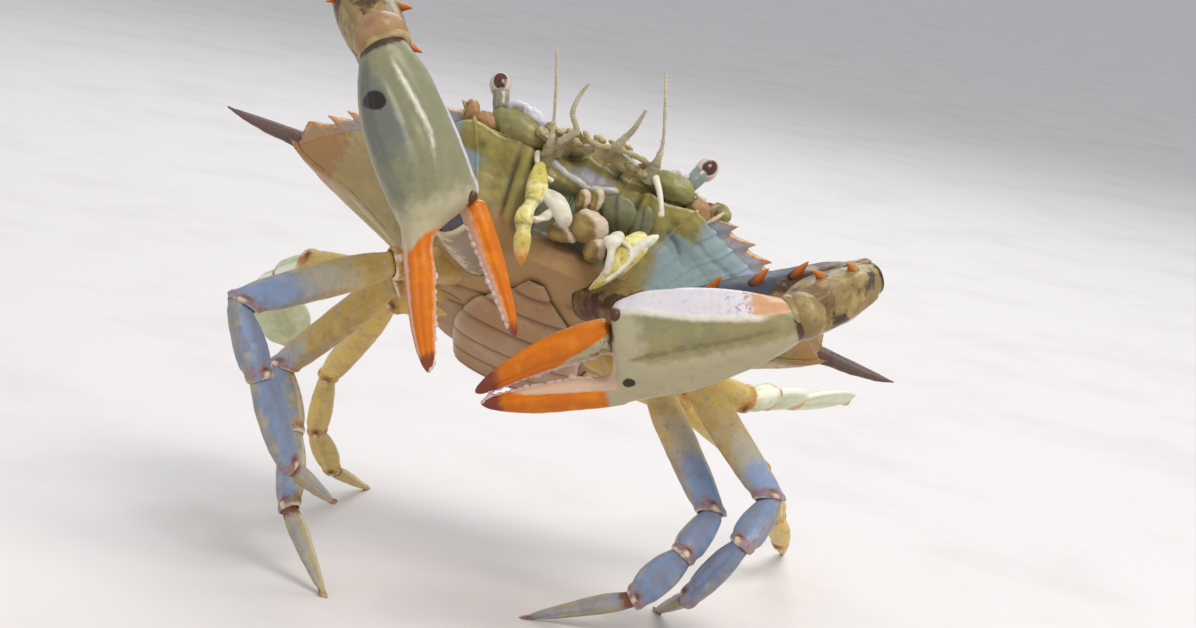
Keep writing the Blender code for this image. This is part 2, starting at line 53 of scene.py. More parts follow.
# The pose, as in the part's source.
STAND_CENTRE = np.array((-10.38, -5.44, 0.0))
BODY_PLACE = np.array((-10.5, 0.0, 72.5))
BODY_TURN = np.array(Euler([math.radians(angle) for angle in (-52.0, 12.0, -4.0)]).to_matrix())
BODY_ACROSS = BODY_TURN[:, 0]

WALKING_LEGS = {
    "right_2": ((-32, -15, 67), (-42, -23, 67), (-70, -30, 55), (-63, -36, 42), (-55, -33, 25),
                (-47, -14, 14)),
    "right_3": ((-34, -8, 62), (-42, -14, 62), (-63, -3, 38), (-58, -11, 26), (-55, -21, 13), (-44, -34, 0)),
    "right_4": ((-33, -1, 57), (-43, 0, 55), (-56, 22, 32), (-57, 27, 18), (-53, 35, 8), (-46, 54, 0)),
    "left_2": ((5, -18, 59), (19, -22, 57), (41, -20, 32), (36, -30, 24), (28, -24, 10), (23, -4, 0)),
    "left_3": ((5, -11, 53), (13, -13, 51), (30, -16, 26), (25, -27, 19), (17, -25, 8), (-4, -25, 0)),
    "left_4": ((5, -2, 48), (21, 0, 44), (41, 18, 29), (47, 27, 17), (50, 40, 8), (53, 62, 0)),
}
LIFTED_LEGS = ("right_2",)
LEG_GIRTH = {"right_4": 0.8, "left_4": 0.8}
# Where along the merus each leg turns grey, and where it turns blue, and how blue it is beyond.
LEG_TINTS = {"right_2": (0.35, 0.68, 0.85), "right_3": (0.85, 0.98, 0.6), "right_4": (1.5, 1.9, 0.0),
             "left_2": (0.55, 0.82, 1.0), "left_3": (0.35, 0.66, 1.0), "left_4": (1.5, 1.9, 0.0)}
# Dark green patches of two meri: (strength, width, angle round, from, to).
GREEN_PATCHES = {"left_2": (1.1, 30, 172, 0.42, 0.66), "right_2": (0.8, 12, 90, 0.6, 0.68)}
SWIMMING_LEGS = {
    "right": ((-27, 4, 57), (-64, 22, 56), (-69, 28, 52), (-73, 34, 47), (-67, 44, 33)),
    "left": ((-1, 3, 51), (35, 18, 44), (40, 25, 44), (47, 37, 42), (61, 62, 39)),
}
PADDLE_BROAD = {"right": (0.9, 0.1, 0.4), "left": (0.7, -0.3, 0.5)}
CLAWS = {
    "right": {
        "joints": ((-27, -23, 74), (-31, -36, 80), (-56, -35, 119), (-47, -52, 111), (-32, -58, 87)),
        "across": (8, 8, 7),
        # Palm sections: (along from the wrist, lower edge, upper edge, half thickness).
        "palm": ((-4.5, -2.6, 2.0, 2.6), (0.0, -5.2, 3.8, 4.6), (6.5, -8.2, 5.6, 5.8),
                 (16.0, -10.2, 6.6, 6.4), (26.0, -10.2, 6.7, 6.2), (31.0, -9.9, 6.2, 5.4)),
        "fixed": {"root": (34.0, -7.0), "tip": (59.0, -15.6), "bulge": -0.6, "girth": 0.82},
        "moving": {"root": (31.5, 5.0), "tip": (58.0, 3.5), "bulge": 0.4, "girth": 0.68},
        # Lines over the outer face, as (along, across): a keel and a furrow.
        "keel": ((0.0, -2.6), (5.0, -2.4), (11.0, -1.8), (18.0, -1.0), (25.0, -2.7), (32.0, -4.0)),
        "furrow": ((2.0, -5.0), (12.0, -4.6), (22.0, -5.0), (32.0, -7.0)),
        "spot": (9.3, -7.6, 1.7), "hinge": (31.2, 3.6),
        # Spines of the wrist, as (place along, angle round), and the line of the arm's spines.
        "wrist": (6.0, 5.6), "wrist_spines": ((0.93, 66), (0.5, 96), (0.3, 232)), "arm_spines": 130,
    },
    "left": {
        "joints": ((2, -25, 67), (11, -37, 67), (48, -42, 82), (35, -56, 75), (5, -54, 63)),
        "across": (-1, 0, 16),
        "palm": ((-4.5, -2.8, 2.2, 2.6), (0.0, -5.0, 4.0, 4.6), (4.5, -6.6, 5.8, 5.6), (10.0, -8.0, 7.8, 6.4),
                 (20.0, -9.6, 9.8, 6.8), (28.0, -9.6, 10.0, 6.5), (31.5, -9.6, 8.8, 5.6)),
        "fixed": {"root": (34.0, -6.3), "tip": (60.0, -4.6), "bulge": -0.6, "girth": 0.9},
        "moving": {"root": (32.5, 3.6), "tip": (60.5, -2.4), "bulge": 1.4, "girth": 0.92},
        "keel": ((0.0, 1.6), (5.0, 2.1), (16.0, 4.4), (27.0, 7.6), (32.0, 8.2)),
        "furrow": ((2.0, -0.6), (8.0, -0.8), (22.0, -0.7), (31.0, -1.0)),
        "spot": (31.0, -5.2, 1.1), "hinge": (31.0, 7.6),
        "wrist": (5.4, 5.0), "wrist_spines": ((0.55, 262), (0.28, 240)), "arm_spines": 292,
    },
}
# Finger sections: (share of the length, half breadth, half thickness).
FIXED_SIZES = ((0.0, 4.0, 4.1), (0.3, 3.4, 3.5), (0.6, 2.9, 2.8), (0.85, 1.9, 1.9), (1.0, 0.8, 0.9))
MOVING_SIZES = ((0.0, 3.6, 3.7), (0.15, 3.7, 3.8), (0.4, 3.4, 3.2), (0.65, 2.7, 2.5), (0.87, 1.8, 1.7),
                (1.0, 0.8, 0.8))

# Relative outlines of limb segments: (place along, half breadth, half thickness).
SHAPES = {
    "base": ((0.0, 1.0, 1.0), (0.5, 1.0, 1.0), (1.0, 0.88, 0.88)),
    "merus": ((0.0, 0.68, 0.8), (0.22, 0.95, 1.0), (0.6, 1.0, 1.0), (0.87, 0.9, 0.95), (1.0, 0.8, 0.86)),
    "carpus": ((0.0, 0.66, 0.75), (0.35, 0.95, 1.0), (0.8, 1.0, 1.0), (1.0, 0.84, 0.86)),
    "propodus": ((0.0, 0.68, 0.8), (0.3, 1.0, 1.0), (0.75, 0.96, 0.95), (1.0, 0.7, 0.86)),
    "dactyl": ((0.0, 0.8, 0.95), (0.2, 1.0, 1.0), (0.55, 0.8, 0.85), (0.85, 0.46, 0.55), (1.0, 0.22, 0.3)),
    "paddle": ((0.0, 0.34, 1.0), (0.16, 0.75, 1.0), (0.42, 1.0, 0.85), (0.7, 0.93, 0.7), (0.9, 0.6, 0.6),
               (1.0, 0.16, 0.5)),
    "arm": ((0.0, 0.7, 0.75), (0.25, 0.95, 1.0), (0.65, 1.0, 1.0), (0.88, 0.92, 0.95), (1.0, 0.8, 0.84)),
    "wrist": ((0.0, 0.66, 0.7), (0.3, 1.0, 1.0), (0.75, 1.0, 1.0), (1.0, 0.74, 0.8)),
}
# Half breadth and half thickness of each segment, from the trunk outward.
WALKING_SIZES = {"base": (3.7, 3.4), "merus": (3.5, 2.7), "carpus": (3.1, 2.6), "propodus": (3.4, 2.0),
                 "dactyl": (2.0, 1.6)}
SWIMMING_SIZES = {"merus": (4.4, 3.0), "carpus": (3.8, 2.7), "propodus": (4.8, 2.0), "paddle": (6.0, 1.2)}
CLAW_SIZES = {"base": (5.2, 4.8), "arm": (5.6, 4.8)}
ARM_SPINES_ALONG = (0.35, 0.58, 0.8)
# Keels and furrows along the segments: (height, width, angles round).
WALKING_LINES = {
    "base": (),
    "merus": ((0.28, 16, (180,)), (-0.2, 12, (150, 210))),
    "carpus": ((0.35, 13, (150, 210)), (-0.3, 14, (180,))),
    "propodus": ((0.26, 10, (90, 270)), (-0.24, 12, (62, 118, 242, 298))),
    "dactyl": ((-0.22, 13, (55, 125, 235, 305)),),
}
CLAW_LINES = {
    "base": (),
    "arm": ((0.5, 18, (0,)), (0.5, 16, (120, 240))),
    "wrist": ((0.5, 12, (150, 210)), (-0.35, 13, (180,))),
}
PADDLE_LINES = ((0.2, 12, (90, 270)),)
SWIMMING_LINES = ((0.3, 12, (0, 180)),)
# Angles round a segment at which its end has a condyle, and the segments with the upper leg's paint.
CONDYLES = (90, 270)
UPPER_PARTS = ("base", "merus")
# How much further into the trunk a limb starts than its first joint.
ROOT_DEPTH = 6.0
# Depth of the neck, overhang past the joint's middle and length of a tip, as shares of the half thickness.
NECK_DEPTH, OVERHANG, TIP_LENGTH = 0.42, 0.55, 0.5
NECK_ROWS = 6
END_ROWS = 9
# The lip at a segment's end bulges out and draws in, and then dips into a cup of two rows.
LIP_BULGE, LIP_DRAW = 0.35, 0.09
CUP_DIPS, CUP_SCALES = (-1.6, -2.0), (0.55, 0.1)

# Carapace, in the body frame. The insets say how far its rim lies inside its margin.
SHELL_CENTRE = np.array((0.0, 3.0, 0.0))
SHELL_HEIGHT = 14.0
SHELL_RIM = 2.4
SHELL_LIP = 1.2
SPINE_TIP = (75.0, -1.0)
SPINE_NOTCH = (58.5, -0.8)
SPINE_INSET, TOOTH_INSET, HOLLOW_INSET, REAR_INSET, NOTCH_INSET = 16.5, 4.8, 2.6, 2.0, 1.0
ORBIT_CORNER = np.array((28.0, -28.6))
MARGIN_BEND = np.array((45.5, -19.5))
LAST_TOOTH = np.array((57.5, -6.4))
SIDE_TEETH = 7
TOOTH_VALLEY = 0.42
TOOTH_HEIGHT = 3.8
TOOTH_HOLLOW = 0.9
BROW_HEIGHT = 3.2
BROW_HALF_WIDTH = 32.0
SHELL_COLUMNS = 1080
# Rows of the shell: below, out to its edge, back in above the edge, and over the dome.
BELOW_ROWS, OUT_ROWS, IN_ROWS, DOME_ROWS = 26, 8, 9, 62
EDGE_ROW = BELOW_ROWS + OUT_ROWS
# The rear margin, left half.
REAR_MARGIN = ((59.5, 2.6), (54.0, 7.0), (46.0, 12.0), (36.0, 18.5), (26.0, 28.5), (12.0, 33.0), (0.0, 33.0))
# Lines on the back, left half: ridges and grooves.
BACK_RIDGES = (((62, -3), (48, -6), (36, -6.5), (27, -3), (21, 2)), ((14, -12), (7, -13.5), (0, -13.5)),
               ((12, -4.5), (6, -5.5), (0, -5.5)))
BACK_GROOVES = (((16, -20), (15, -10), (19, -3), (15, 4), (9, 8), (0, 9)),
                ((9, 8), (8.5, 16), (6, 22), (0, 24)), ((15, 4), (24, 8), (34, 10)), ((6, 22), (12, 27)))
# Points of the side spine: (x, y, z, half breadth, half height).
SIDE_SPINE = ((46.0, 4.5, 1.4, 3.6, 3.0), (54.0, 1.4, 0.9, 2.6, 2.1), (60.0, 0.5, 0.5, 1.9, 1.6),
              (66.0, 0.2, 0.2, 1.4, 1.25), (71.0, -0.2, 0.0, 0.8, 0.75), (*SPINE_TIP, 0.0, 0.16, 0.16))

# Trunk below the carapace, in the body frame.
TRUNK_COLUMNS = 900
# Rows of the trunk: its roof, the bend under the shell's edge, the wall and the breast.
ROOF_ROWS, BEND_ROWS, WALL_ROWS, BREAST_ROWS = 6, 44, 60, 40
BEND_SHARE = 0.3
BEND_DEPTH = 2.4
EDGE_GAP = 0.9
TRUNK_TOP = -3.2
TRUNK_INSET = 0.94
TRUNK_BULGE = 2.6
TRUNK_FRONT = 26.0
FLANK_HOLLOW = 1.4
BREAST_HALF_WIDTH = 22.0
BREAST_HALF_LENGTH = 22.0
BREAST_MIDDLE = 6.5
BREAST_SQUARENESS = 2.6
BREAST_Z = -20.4
BREAST_REAR_SLOPE = 0.3
# Seams of the breast plate: (y, half length).
BREAST_SEAMS = ((-7.0, 14.5), (-0.5, 18.5), (6.0, 21.0), (12.5, 20.0), (19.0, 16.0))
# The face lies a little to the crab's left of the middle. Its lines, left half.
FACE_MIDDLE = 1.6
MOUTH_STRIP = ((12.6, -27.5, -0.5), (12.9, -25.2, -2.5), (12.6, -21.9, -7.3), (11.8, -18.2, -14.6))
EPISTOME_EDGE = ((0.0, -25.2, -5.2), (5.0, -25.4, -3.9), (10.0, -25.8, -2.0))
UNDER_ORBIT = ((9.5, -27.0, -0.8), (13.0, -25.4, -3.4), (19.0, -22.6, -5.2), (27.0, -20.0, -4.6),
               (36.0, -15.5, -3.8))
CHEEK_LINE = ((18.0, -22.8, -5.4), (22.5, -20.6, -6.6), (27.0, -17.0, -9.0))
# The tail's segments: (y, z, half breadth, half thickness).
APRON = ((30.0, -2.5, 9.5, 2.6), (30.0, -7.5, 11.0, 2.8), (29.2, -12.6, 12.5, 2.8), (24.0, -14.5, 13.4, 2.6),
         (15.0, -18.0, 13.8, 2.4), (6.5, -21.0, 13.2, 2.2), (0.0, -21.0, 10.5, 2.0), (-5.5, -21.0, 5.2, 1.7),
         (-10.5, -21.0, 1.6, 1.0))
# The left eye's stalk: (x, y, z, radius).
EYE = np.array(((18.6, -22.6, -0.6, 2.0), (19.2, -24.6, 1.4, 1.9), (20.3, -26.4, 4.0, 1.7),
                (21.3, -27.6, 6.4, 1.7), (22.3, -28.0, 8.6, 1.9)))
EYE_LOOK = np.array((0.06, -0.98, 0.17))
EYE_KNOB = (2.8, 2.25, 2.1)

# Small parts of the front, in the stand frame. Feelers: (x, y, z, radius).
FEELERS = {
    "antenna_right": ((-15.4, -17.0, 91.5, 1.9), (-15.2, -19.0, 94.3, 1.3), (-15.1, -21.0, 96.4, 0.75),
                      (-15.1, -22.4, 99.0, 0.42), (-15.7, -24.5, 106.7, 0.34), (-16.8, -26.0, 114.6, 0.26)),
    "antenna_left": ((5.0, -17.5, 91.5, 1.9), (5.8, -19.0, 94.0, 1.3), (6.4, -20.6, 96.4, 0.75),
                     (6.7, -22.2, 98.8, 0.42), (6.0, -25.0, 106.6, 0.34), (4.8, -26.2, 114.2, 0.26)),
    "antennule_right": ((-13.6, -18.0, 93.6, 1.2), (-13.2, -21.6, 96.6, 0.75), (-10.5, -24.0, 99.4, 0.7),
                        (-11.7, -27.0, 103.3, 0.55), (-10.8, -28.5, 106.9, 0.42), (-9.3, -30.0, 109.7, 0.26)),
    "antennule_left": ((-3.6, -18.0, 95.4, 1.2), (-1.5, -21.8, 98.6, 0.75), (0.5, -25.0, 101.6, 0.6),
                       (1.6, -28.0, 104.3, 0.45), (2.4, -30.0, 106.6, 0.26)),
}
# Mouth legs: rods of (x, y, z, half breadth, half thickness), and which of the rods are pale all over.
MOUTH_BROAD = (1.0, 0.2, 0.3)
MOUTH_LEGS = {
    "right": (
        ((-16.4, -21.0, 91.6, 0.9, 0.8), (-16.3, -24.0, 89.6, 1.6, 1.2), (-16.1, -26.2, 87.4, 2.1, 1.5),
         (-16.3, -28.2, 85.2, 1.7, 1.3), (-16.8, -29.4, 84.0, 1.25, 1.0), (-17.4, -30.6, 82.6, 1.6, 1.0),
         (-17.4, -31.8, 80.6, 1.6, 1.0), (-17.1, -32.4, 79.5, 1.3, 0.8), (-17.0, -33.0, 78.0, 1.6, 0.8),
         (-16.8, -33.3, 75.6, 1.4, 0.7), (-16.5, -33.4, 73.8, 0.8, 0.5), (-16.4, -33.2, 72.6, 0.2, 0.2)),
        ((-15.6, -24.6, 86.0, 0.9, 0.8), (-14.2, -26.6, 86.4, 1.4, 1.1), (-12.2, -27.8, 85.6, 1.8, 1.4),
         (-10.4, -28.4, 83.6, 1.8, 1.4), (-9.4, -28.4, 81.8, 1.3, 1.0), (-9.0, -28.2, 80.8, 0.5, 0.4)),
        ((-16.6, -30.4, 81.6, 0.7, 0.6), (-15.0, -29.6, 81.6, 1.0, 0.7), (-13.2, -29.0, 82.6, 0.9, 0.7),
         (-12.0, -28.6, 84.0, 0.6, 0.5)),
    ),
    "left": (
        ((5.6, -28.0, 82.4, 1.0, 0.6), (5.2, -30.4, 80.8, 2.4, 0.8), (3.4, -32.2, 78.0, 2.4, 0.7),
         (1.6, -33.4, 75.2, 1.7, 0.6), (-0.4, -33.8, 72.6, 1.0, 0.5), (-2.4, -33.4, 70.4, 0.3, 0.3)),
        ((1.4, -26.0, 80.8, 1.0, 0.9), (0.9, -30.6, 80.8, 1.5, 1.1), (0.3, -32.8, 80.2, 1.7, 1.0),
         (0.4, -33.6, 78.8, 0.8, 0.7), (0.5, -34.2, 76.6, 0.7, 0.6), (0.2, -34.4, 73.8, 0.6, 0.6)),
        ((2.2, -32.2, 80.6, 0.4, 0.4), (3.8, -32.2, 79.6, 0.45, 0.4), (4.4, -32.8, 78.0, 0.45, 0.4),
         (3.0, -33.8, 75.4, 0.4, 0.4), (0.4, -34.4, 72.6, 0.35, 0.35)),
        ((9.0, -29.0, 82.6, 0.3, 0.3), (7.6, -30.2, 81.6, 1.0, 0.8), (5.8, -31.4, 80.0, 1.1, 0.8),
         (4.0, -32.6, 77.8, 0.9, 0.6)),
    ),
}
PALE_MOUTH_RODS = (1, 2, 3)
# Jaws and lobes between them: centre, half widths across, up and through, and colour.
MOUTH_LOBES = (
    ((-5.0, -25.4, 81.2), (3.9, 3.3, 2.6), "brown"), ((-3.0, -25.8, 77.0), (2.1, 2.7, 2.2), "brown"),
    ((-9.8, -25.0, 79.0), (3.0, 1.8, 1.8), "brown"), ((-7.0, -23.4, 85.6), (1.2, 2.8, 1.2), "brown"),
    ((-4.4, -23.0, 86.0), (1.1, 2.8, 1.2), "brown"), ((0.4, -22.4, 84.4), (3.8, 4.0, 1.3), "mouth"),
    ((5.6, -22.4, 83.2), (2.2, 4.2, 1.3), "mouth"),
)
# Slender rods that hang from the roots of the feelers: (x, y, z, radius).
FACE_RODS = (
    ((6.4, -19.0, 92.8, 0.8), (8.0, -22.4, 89.6, 0.6), (8.7, -23.4, 87.2, 0.55), (8.9, -23.6, 85.4, 0.8)),
    ((-17.4, -18.0, 93.4, 0.7), (-16.9, -21.4, 91.4, 0.5), (-15.4, -22.6, 89.6, 0.5),
     (-13.2, -23.0, 88.6, 0.6)),
)
# Round the eyes: lobes as (centre, half widths, colour), and rolls as (places, radius, colour).
ORBIT_LOBES = (
    ((-28.4, -14.2, 97.2), (3.2, 2.0, 2.2), "bulge"), ((-21.8, -14.6, 97.0), (6.2, 3.6, 3.6), "moss"),
    ((-31.8, -14.4, 98.8), (1.6, 2.4, 1.6), "bulge"), ((16.4, -16.4, 87.2), (3.0, 2.6, 2.2), "bulge"),
    ((16.3, -16.6, 89.9), (1.3, 1.0, 1.1), "white"), ((10.6, -16.8, 90.8), (4.6, 3.0, 3.2), "moss"),
    ((20.6, -15.8, 87.4), (2.4, 1.8, 1.2), "moss"),
)
ORBIT_ROLLS = (
    (((-25.0, -13.4, 100.6), (-23.2, -14.2, 101.2), (-20.6, -14.8, 100.8), (-18.0, -15.4, 99.2),
      (-16.6, -15.8, 97.6)), 1.1, "lavender"),
    (((8.0, -15.6, 92.4), (10.4, -16.0, 93.4), (13.0, -15.8, 93.4)), 1.0, "lavender"),
    (((-34.0, -14.2, 97.4), (-32.2, -14.6, 99.6), (-30.6, -15.6, 96.8), (-26.8, -16.2, 95.6),
      (-22.4, -16.8, 95.4)), 0.45, "olive"),
    (((12.0, -17.8, 87.0), (15.0, -17.6, 85.2), (18.6, -17.4, 85.4), (21.4, -16.8, 87.8)), 0.45, "pink"),
    (((-16.6, -19.2, 92.8), (-15.5, -20.0, 93.9), (-12.4, -20.5, 96.9), (-9.8, -20.5, 99.2)), 0.7, "rope"),
    (((-9.2, -20.0, 99.3), (-6.7, -20.5, 97.3), (-2.6, -20.5, 97.0), (1.1, -20.5, 96.5), (5.0, -20.0, 94.9)),
     0.65, "rope"),
)
# Small pale knobs along the brow, between the feelers: (x, y, z, size).
BROW_KNOBS = ((-11.4, -19.4, 98.6, 0.9), (-5.6, -19.6, 98.2, 1.0), (-2.6, -19.4, 97.8, 0.9),
              (0.0, -19.4, 97.6, 0.9), (-16.8, -17.6, 97.0, 1.5), (-15.4, -17.4, 98.6, 1.2),
              (-13.4, -17.8, 97.8, 1.3), (-10.6, -17.8, 96.6, 1.2), (-7.6, -18.0, 95.8, 1.0),
              (1.6, -18.6, 93.8, 1.3), (4.0, -18.8, 92.6, 1.3), (7.2, -18.0, 91.8, 1.2))

# The view: the camera looks at this point of the stand frame.
VIEW_TARGET = (0.0, 0.0, 60.0)
VIEW_DISTANCE = 520.0
VIEW_ELEVATION = 10.0
VIEW_ROLL = 10.0
LENS = 75.0
# Lights: (place, size, power, colour).
LIGHTS = {
    "key": ((0.4, -0.45, 0.95), 0.55, 8.0, (1.0, 0.97, 0.93)),
    "fill": ((-0.75, -0.6, 0.3), 0.8, 1.2, (0.93, 0.96, 1.0)),
    "rear": ((0.1, 0.8, 0.8), 0.6, 4.0, (0.95, 0.97, 1.0)),
}
SURROUND = (0.80, 0.86, 0.92, 1.0)
SURROUND_STRENGTH = 0.66
FLOOR_HALF = 30.0


# ---------------------------------------------------------------- numbers

def unit(vector):
    """The vector, or each row of vectors, at length one."""
    return vector / np.maximum(np.linalg.norm(vector, axis=-1, keepdims=True), 1e-9)


def square_to(vector, axis):
    """The part of a vector at right angles to an axis, or to each row of axes, at length one."""
    return unit(vector - axis * np.sum(vector * axis, axis=-1, keepdims=True))


def bump(distance, width):
    """One at distance nought, falling away smoothly over the width."""
    return np.exp(-(distance / width) ** 2)


def step(value, low, high):
    """Nought below low, one above high and smooth between."""
    share = np.clip((value - low) / (high - low), 0.0, 1.0)
    return share * share * (3.0 - 2.0 * share)


def fall(value, low, high):
    """One below low, nought above high and smooth between."""
    return 1.0 - step(value, low, high)


def plateau(value, start, low, high, end):
    """One between low and high, nought outside start and end."""
    return step(value, start, low) * fall(value, high, end)


def box_bump(distance, width):
    """One near nought with a flat top, falling away at the width."""
    return np.exp(-(distance / width) ** 4)


# Noise: where its cells are counted from, and odd numbers that spread x, y and z over many bits.
NOISE_ORIGIN = 100.0
CELL_PRIMES = (73856093, 19349663, 83492791)


def lattice(cells, seed):
    """A repeatable value from -1 to 1 for every whole-numbered cell."""
    x, y, z = np.moveaxis(cells * CELL_PRIMES, -1, 0)
    mixed = x ^ y ^ z ^ (seed * 7919 + 17)
    mixed = (mixed ^ (mixed >> 13)) * 1274126177 & 0x7FFFFFFF
    mixed = (mixed ^ (mixed >> 15)) * 668265263 & 0x7FFFFFFF
    return ((mixed ^ (mixed >> 12)) & 0xFFFF) / 32767.5 - 1.0


def noise(points, size, seed):
    """Smooth noise from -1 to 1 with features of this size."""
    spots = points / size + NOISE_ORIGIN
    cells = np.floor(spots).astype(np.int64)
    inside = spots - cells
    inside = inside * inside * (3.0 - 2.0 * inside)
    total = np.zeros(spots.shape[:-1])
    for corner in itertools.product((0, 1), repeat=3):
        weight = np.prod(np.where(np.array(corner) == 1, inside, 1.0 - inside), axis=-1)
        total += weight * lattice(cells + corner, seed)
    return total


def cloud(points, size, seed):
    """Noise with finer and finer detail added."""
    return sum(noise(points, size / 2.0 ** k, seed + k) / 2.0 ** k for k in range(3))


def lengths(points):
    """How far along a path each of its points lies."""
    return np.concatenate([[0.0], np.cumsum(np.linalg.norm(np.diff(points, axis=0), axis=1))])


def smooth(values, places, wanted):
    """Values at the wanted places, on smooth curves through the values at the given places."""
    steps = np.diff(places)[:, None]
    rates = np.diff(values, axis=0) / steps
    inner = (rates[:-1] * steps[1:] + rates[1:] * steps[:-1]) / (steps[1:] + steps[:-1])
    slopes = np.concatenate([rates[:1], inner, rates[-1:]])
    cell = np.clip(np.searchsorted(places, wanted, side="right") - 1, 0, len(steps) - 1)
    span = steps[cell]
    t = (wanted - places[cell])[:, None] / span
    return ((1 + 2 * t) * (1 - t) ** 2 * values[cell] + t * (1 - t) ** 2 * span * slopes[cell]
            + t * t * (3 - 2 * t) * values[cell + 1] + t * t * (t - 1) * span * slopes[cell + 1])


def bezier(start, bend, end, share):
    """A point on a quadratic curve."""
    return start * (1.0 - share) ** 2 + bend * 2.0 * share * (1.0 - share) + end * share ** 2


def from_body(points):
    """Points of the body frame in the stand frame."""
    return points @ BODY_TURN.T + BODY_PLACE


def distance_to_path(points, path):
    """Distance of every point to a line through the path's points."""
    path = np.array(path, float)
    best = np.inf
    for start, way in zip(path, np.diff(path, axis=0)):
        share = np.clip((points - start) @ way / (way @ way), 0.0, 1.0)
        best = np.minimum(best, np.linalg.norm(points - start - share[..., None] * way, axis=-1))
    return best


# ---------------------------------------------------------------- skins

class Skin:
    """A closed skin: rings of points, closed by a fan at each end, and named shares for its paint."""

    def __init__(self, points, **shares):
        self.points = np.array(points, float)
        self.shares = {}
        self.tint(**shares)

    def tint(self, **shares):
        """Set paint shares, from 0 to 1."""
        for name, value in shares.items():
            value = np.broadcast_to(value, self.points.shape[:2])
            self.shares[name] = np.clip(value.astype(float), 0.0, 1.0)
        return self

    def facing(self):
        """One where rows and columns turn outward, or minus one."""
        offsets = self.points - self.points.mean(axis=(0, 1))
        turns = np.cross(np.roll(offsets[:-1], -1, axis=1), offsets[1:])
        return 1.0 if np.sum(offsets[:-1] * turns) > 0.0 else -1.0

    def normals(self):
        """Outward direction at every point."""
        along = np.gradient(self.points, axis=0)
        around = np.roll(self.points, -1, axis=1) - np.roll(self.points, 1, axis=1)
        return unit(np.cross(around, along)) * self.facing()

    def push(self, amount):
        """Move every point outward by this many millimetres."""
        self.points += self.normals() * np.asarray(amount)[..., None]
        return self

    def roughen(self, amount, size, seed):
        """Push the skin out and in by this many millimetres of noise."""
        return self.push(amount * cloud(self.points, size, seed))

    def near(self, width, *angles):
        """One along the lines at these angles round the skin, falling away over the width, in degrees."""
        columns = self.points.shape[1]
        away = np.arange(columns) * TAU / columns - np.radians(angles)[:, None] + math.pi
        return bump(away % TAU - math.pi, math.radians(width)).sum(axis=0)[None, :]

    def to_stand(self):
        """Turn the skin from the body frame into the stand frame."""
        self.points = from_body(self.points)
        return self


def rings(centres, broad, thin, columns, square=2.0):
    """Rings of superellipses: centres, and half axes as vectors, one of each for every row."""
    angle = np.arange(columns) * TAU / columns
    wide, high = (np.sign(wave) * np.abs(wave) ** (2.0 / square) for wave in (np.cos(angle), np.sin(angle)))
    return centres[:, None] + wide[None, :, None] * broad[:, None] + high[None, :, None] * thin[:, None]


def step_ends(t):
    """Places along, set closer together at both ends."""
    return 0.5 - 0.5 * np.cos(math.pi * t) * (1.0 - 0.45 * np.sin(math.pi * t) ** 2)


def loft(centres, broad, thin, rows, columns, square=2.0, blunt=0.06):
    """A skin through stations, each a centre and two half axes as vectors, with rounded ends."""
    places = lengths(centres)
    along = step_ends(np.linspace(0.0, 1.0, rows))
    made = smooth(np.concatenate([centres, broad, thin], axis=1), places / places[-1], along)
    inside = np.clip(1.0 - np.minimum(along, 1.0 - along) / blunt, 0.0, 1.0)
    closing = np.sqrt(np.maximum(1.0 - inside ** 2, 0.0004))[:, None]
    return Skin(rings(made[:, :3], made[:, 3:6] * closing, made[:, 6:9] * closing, columns, square),
                along=along[:, None])


def tube(path, hint, rows, columns, square=2.0, blunt=0.06):
    """A bent tube through (x, y, z, half breadth, half thickness) or (x, y, z, radius)."""
    path = np.array(path, float)
    ways = unit(np.gradient(path[:, :3], axis=0))
    broad = square_to(hint, ways)
    return loft(path[:, :3], broad * path[:, 3:4], np.cross(ways, broad) * path[:, -1:], rows, columns,
                square, blunt)


def ball(centre, half_axes, rows, columns, **shares):
    """An ellipsoid from three half axes."""
    angle = np.linspace(0.04, math.pi - 0.04, rows)[:, None]
    first, second, third = half_axes
    return Skin(rings(centre - np.cos(angle) * first, np.sin(angle) * second, np.sin(angle) * third, columns),
                **shares)


def thorn(root, way, length, radius, lean):
    """A spine with a broad root and a fine tip, leaning over towards its end."""
    side = unit(np.cross(way, (0.31, 0.87, 0.38)))
    along = np.linspace(0.0, 1.0, 12)[:, None]
    width = radius * ((1.0 - along) ** 0.8 * 0.94 + 0.06)
    centres = root + along * length * way + along ** 2 * lean
    return Skin(rings(centres, width * side, width * np.cross(way, side), 14), thorn=0.25 + 0.75 * along)


def mesh_arrays(skins):
    """Points, face corners, face sizes and paint shares of skins joined into one mesh."""
    points, corners, sizes = [], [], []
    shares = {name: [] for name in sorted({name for skin in skins for name in skin.shares})}
    offset = 0
    for skin in skins:
        rows, columns, _ = skin.points.shape
        grid = np.arange(rows * columns).reshape(rows, columns) + offset
        after = np.roll(grid, -1, axis=1)
        quads = np.stack([grid[:-1], after[:-1], after[1:], grid[1:]], axis=-1).reshape(-1, 4)
        offset += rows * columns + 2
        first = np.stack([np.full(columns, offset - 2), after[0], grid[0]], axis=-1)
        last = np.stack([np.full(columns, offset - 1), grid[-1], after[-1]], axis=-1)
        turn = int(skin.facing())
        points += [skin.points.reshape(-1, 3), skin.points[:1].mean(axis=1), skin.points[-1:].mean(axis=1)]
        corners += [faces[:, ::turn].ravel() for faces in (quads, first, last)]
        sizes += [np.full(len(quads), 4), np.full(2 * columns, 3)]
        for name, parts in shares.items():
            value = skin.shares.get(name, np.zeros((rows, columns)))
            parts += [value.ravel(), value[:1].mean(axis=1), value[-1:].mean(axis=1)]
    return (*map(np.concatenate, (points, corners, sizes)),
            {name: np.concatenate(parts) for name, parts in shares.items()})


def link(name, data):
    """A new object in the scene."""
    thing = bpy.data.objects.new(name, data)
    bpy.context.scene.collection.objects.link(thing)
    return thing


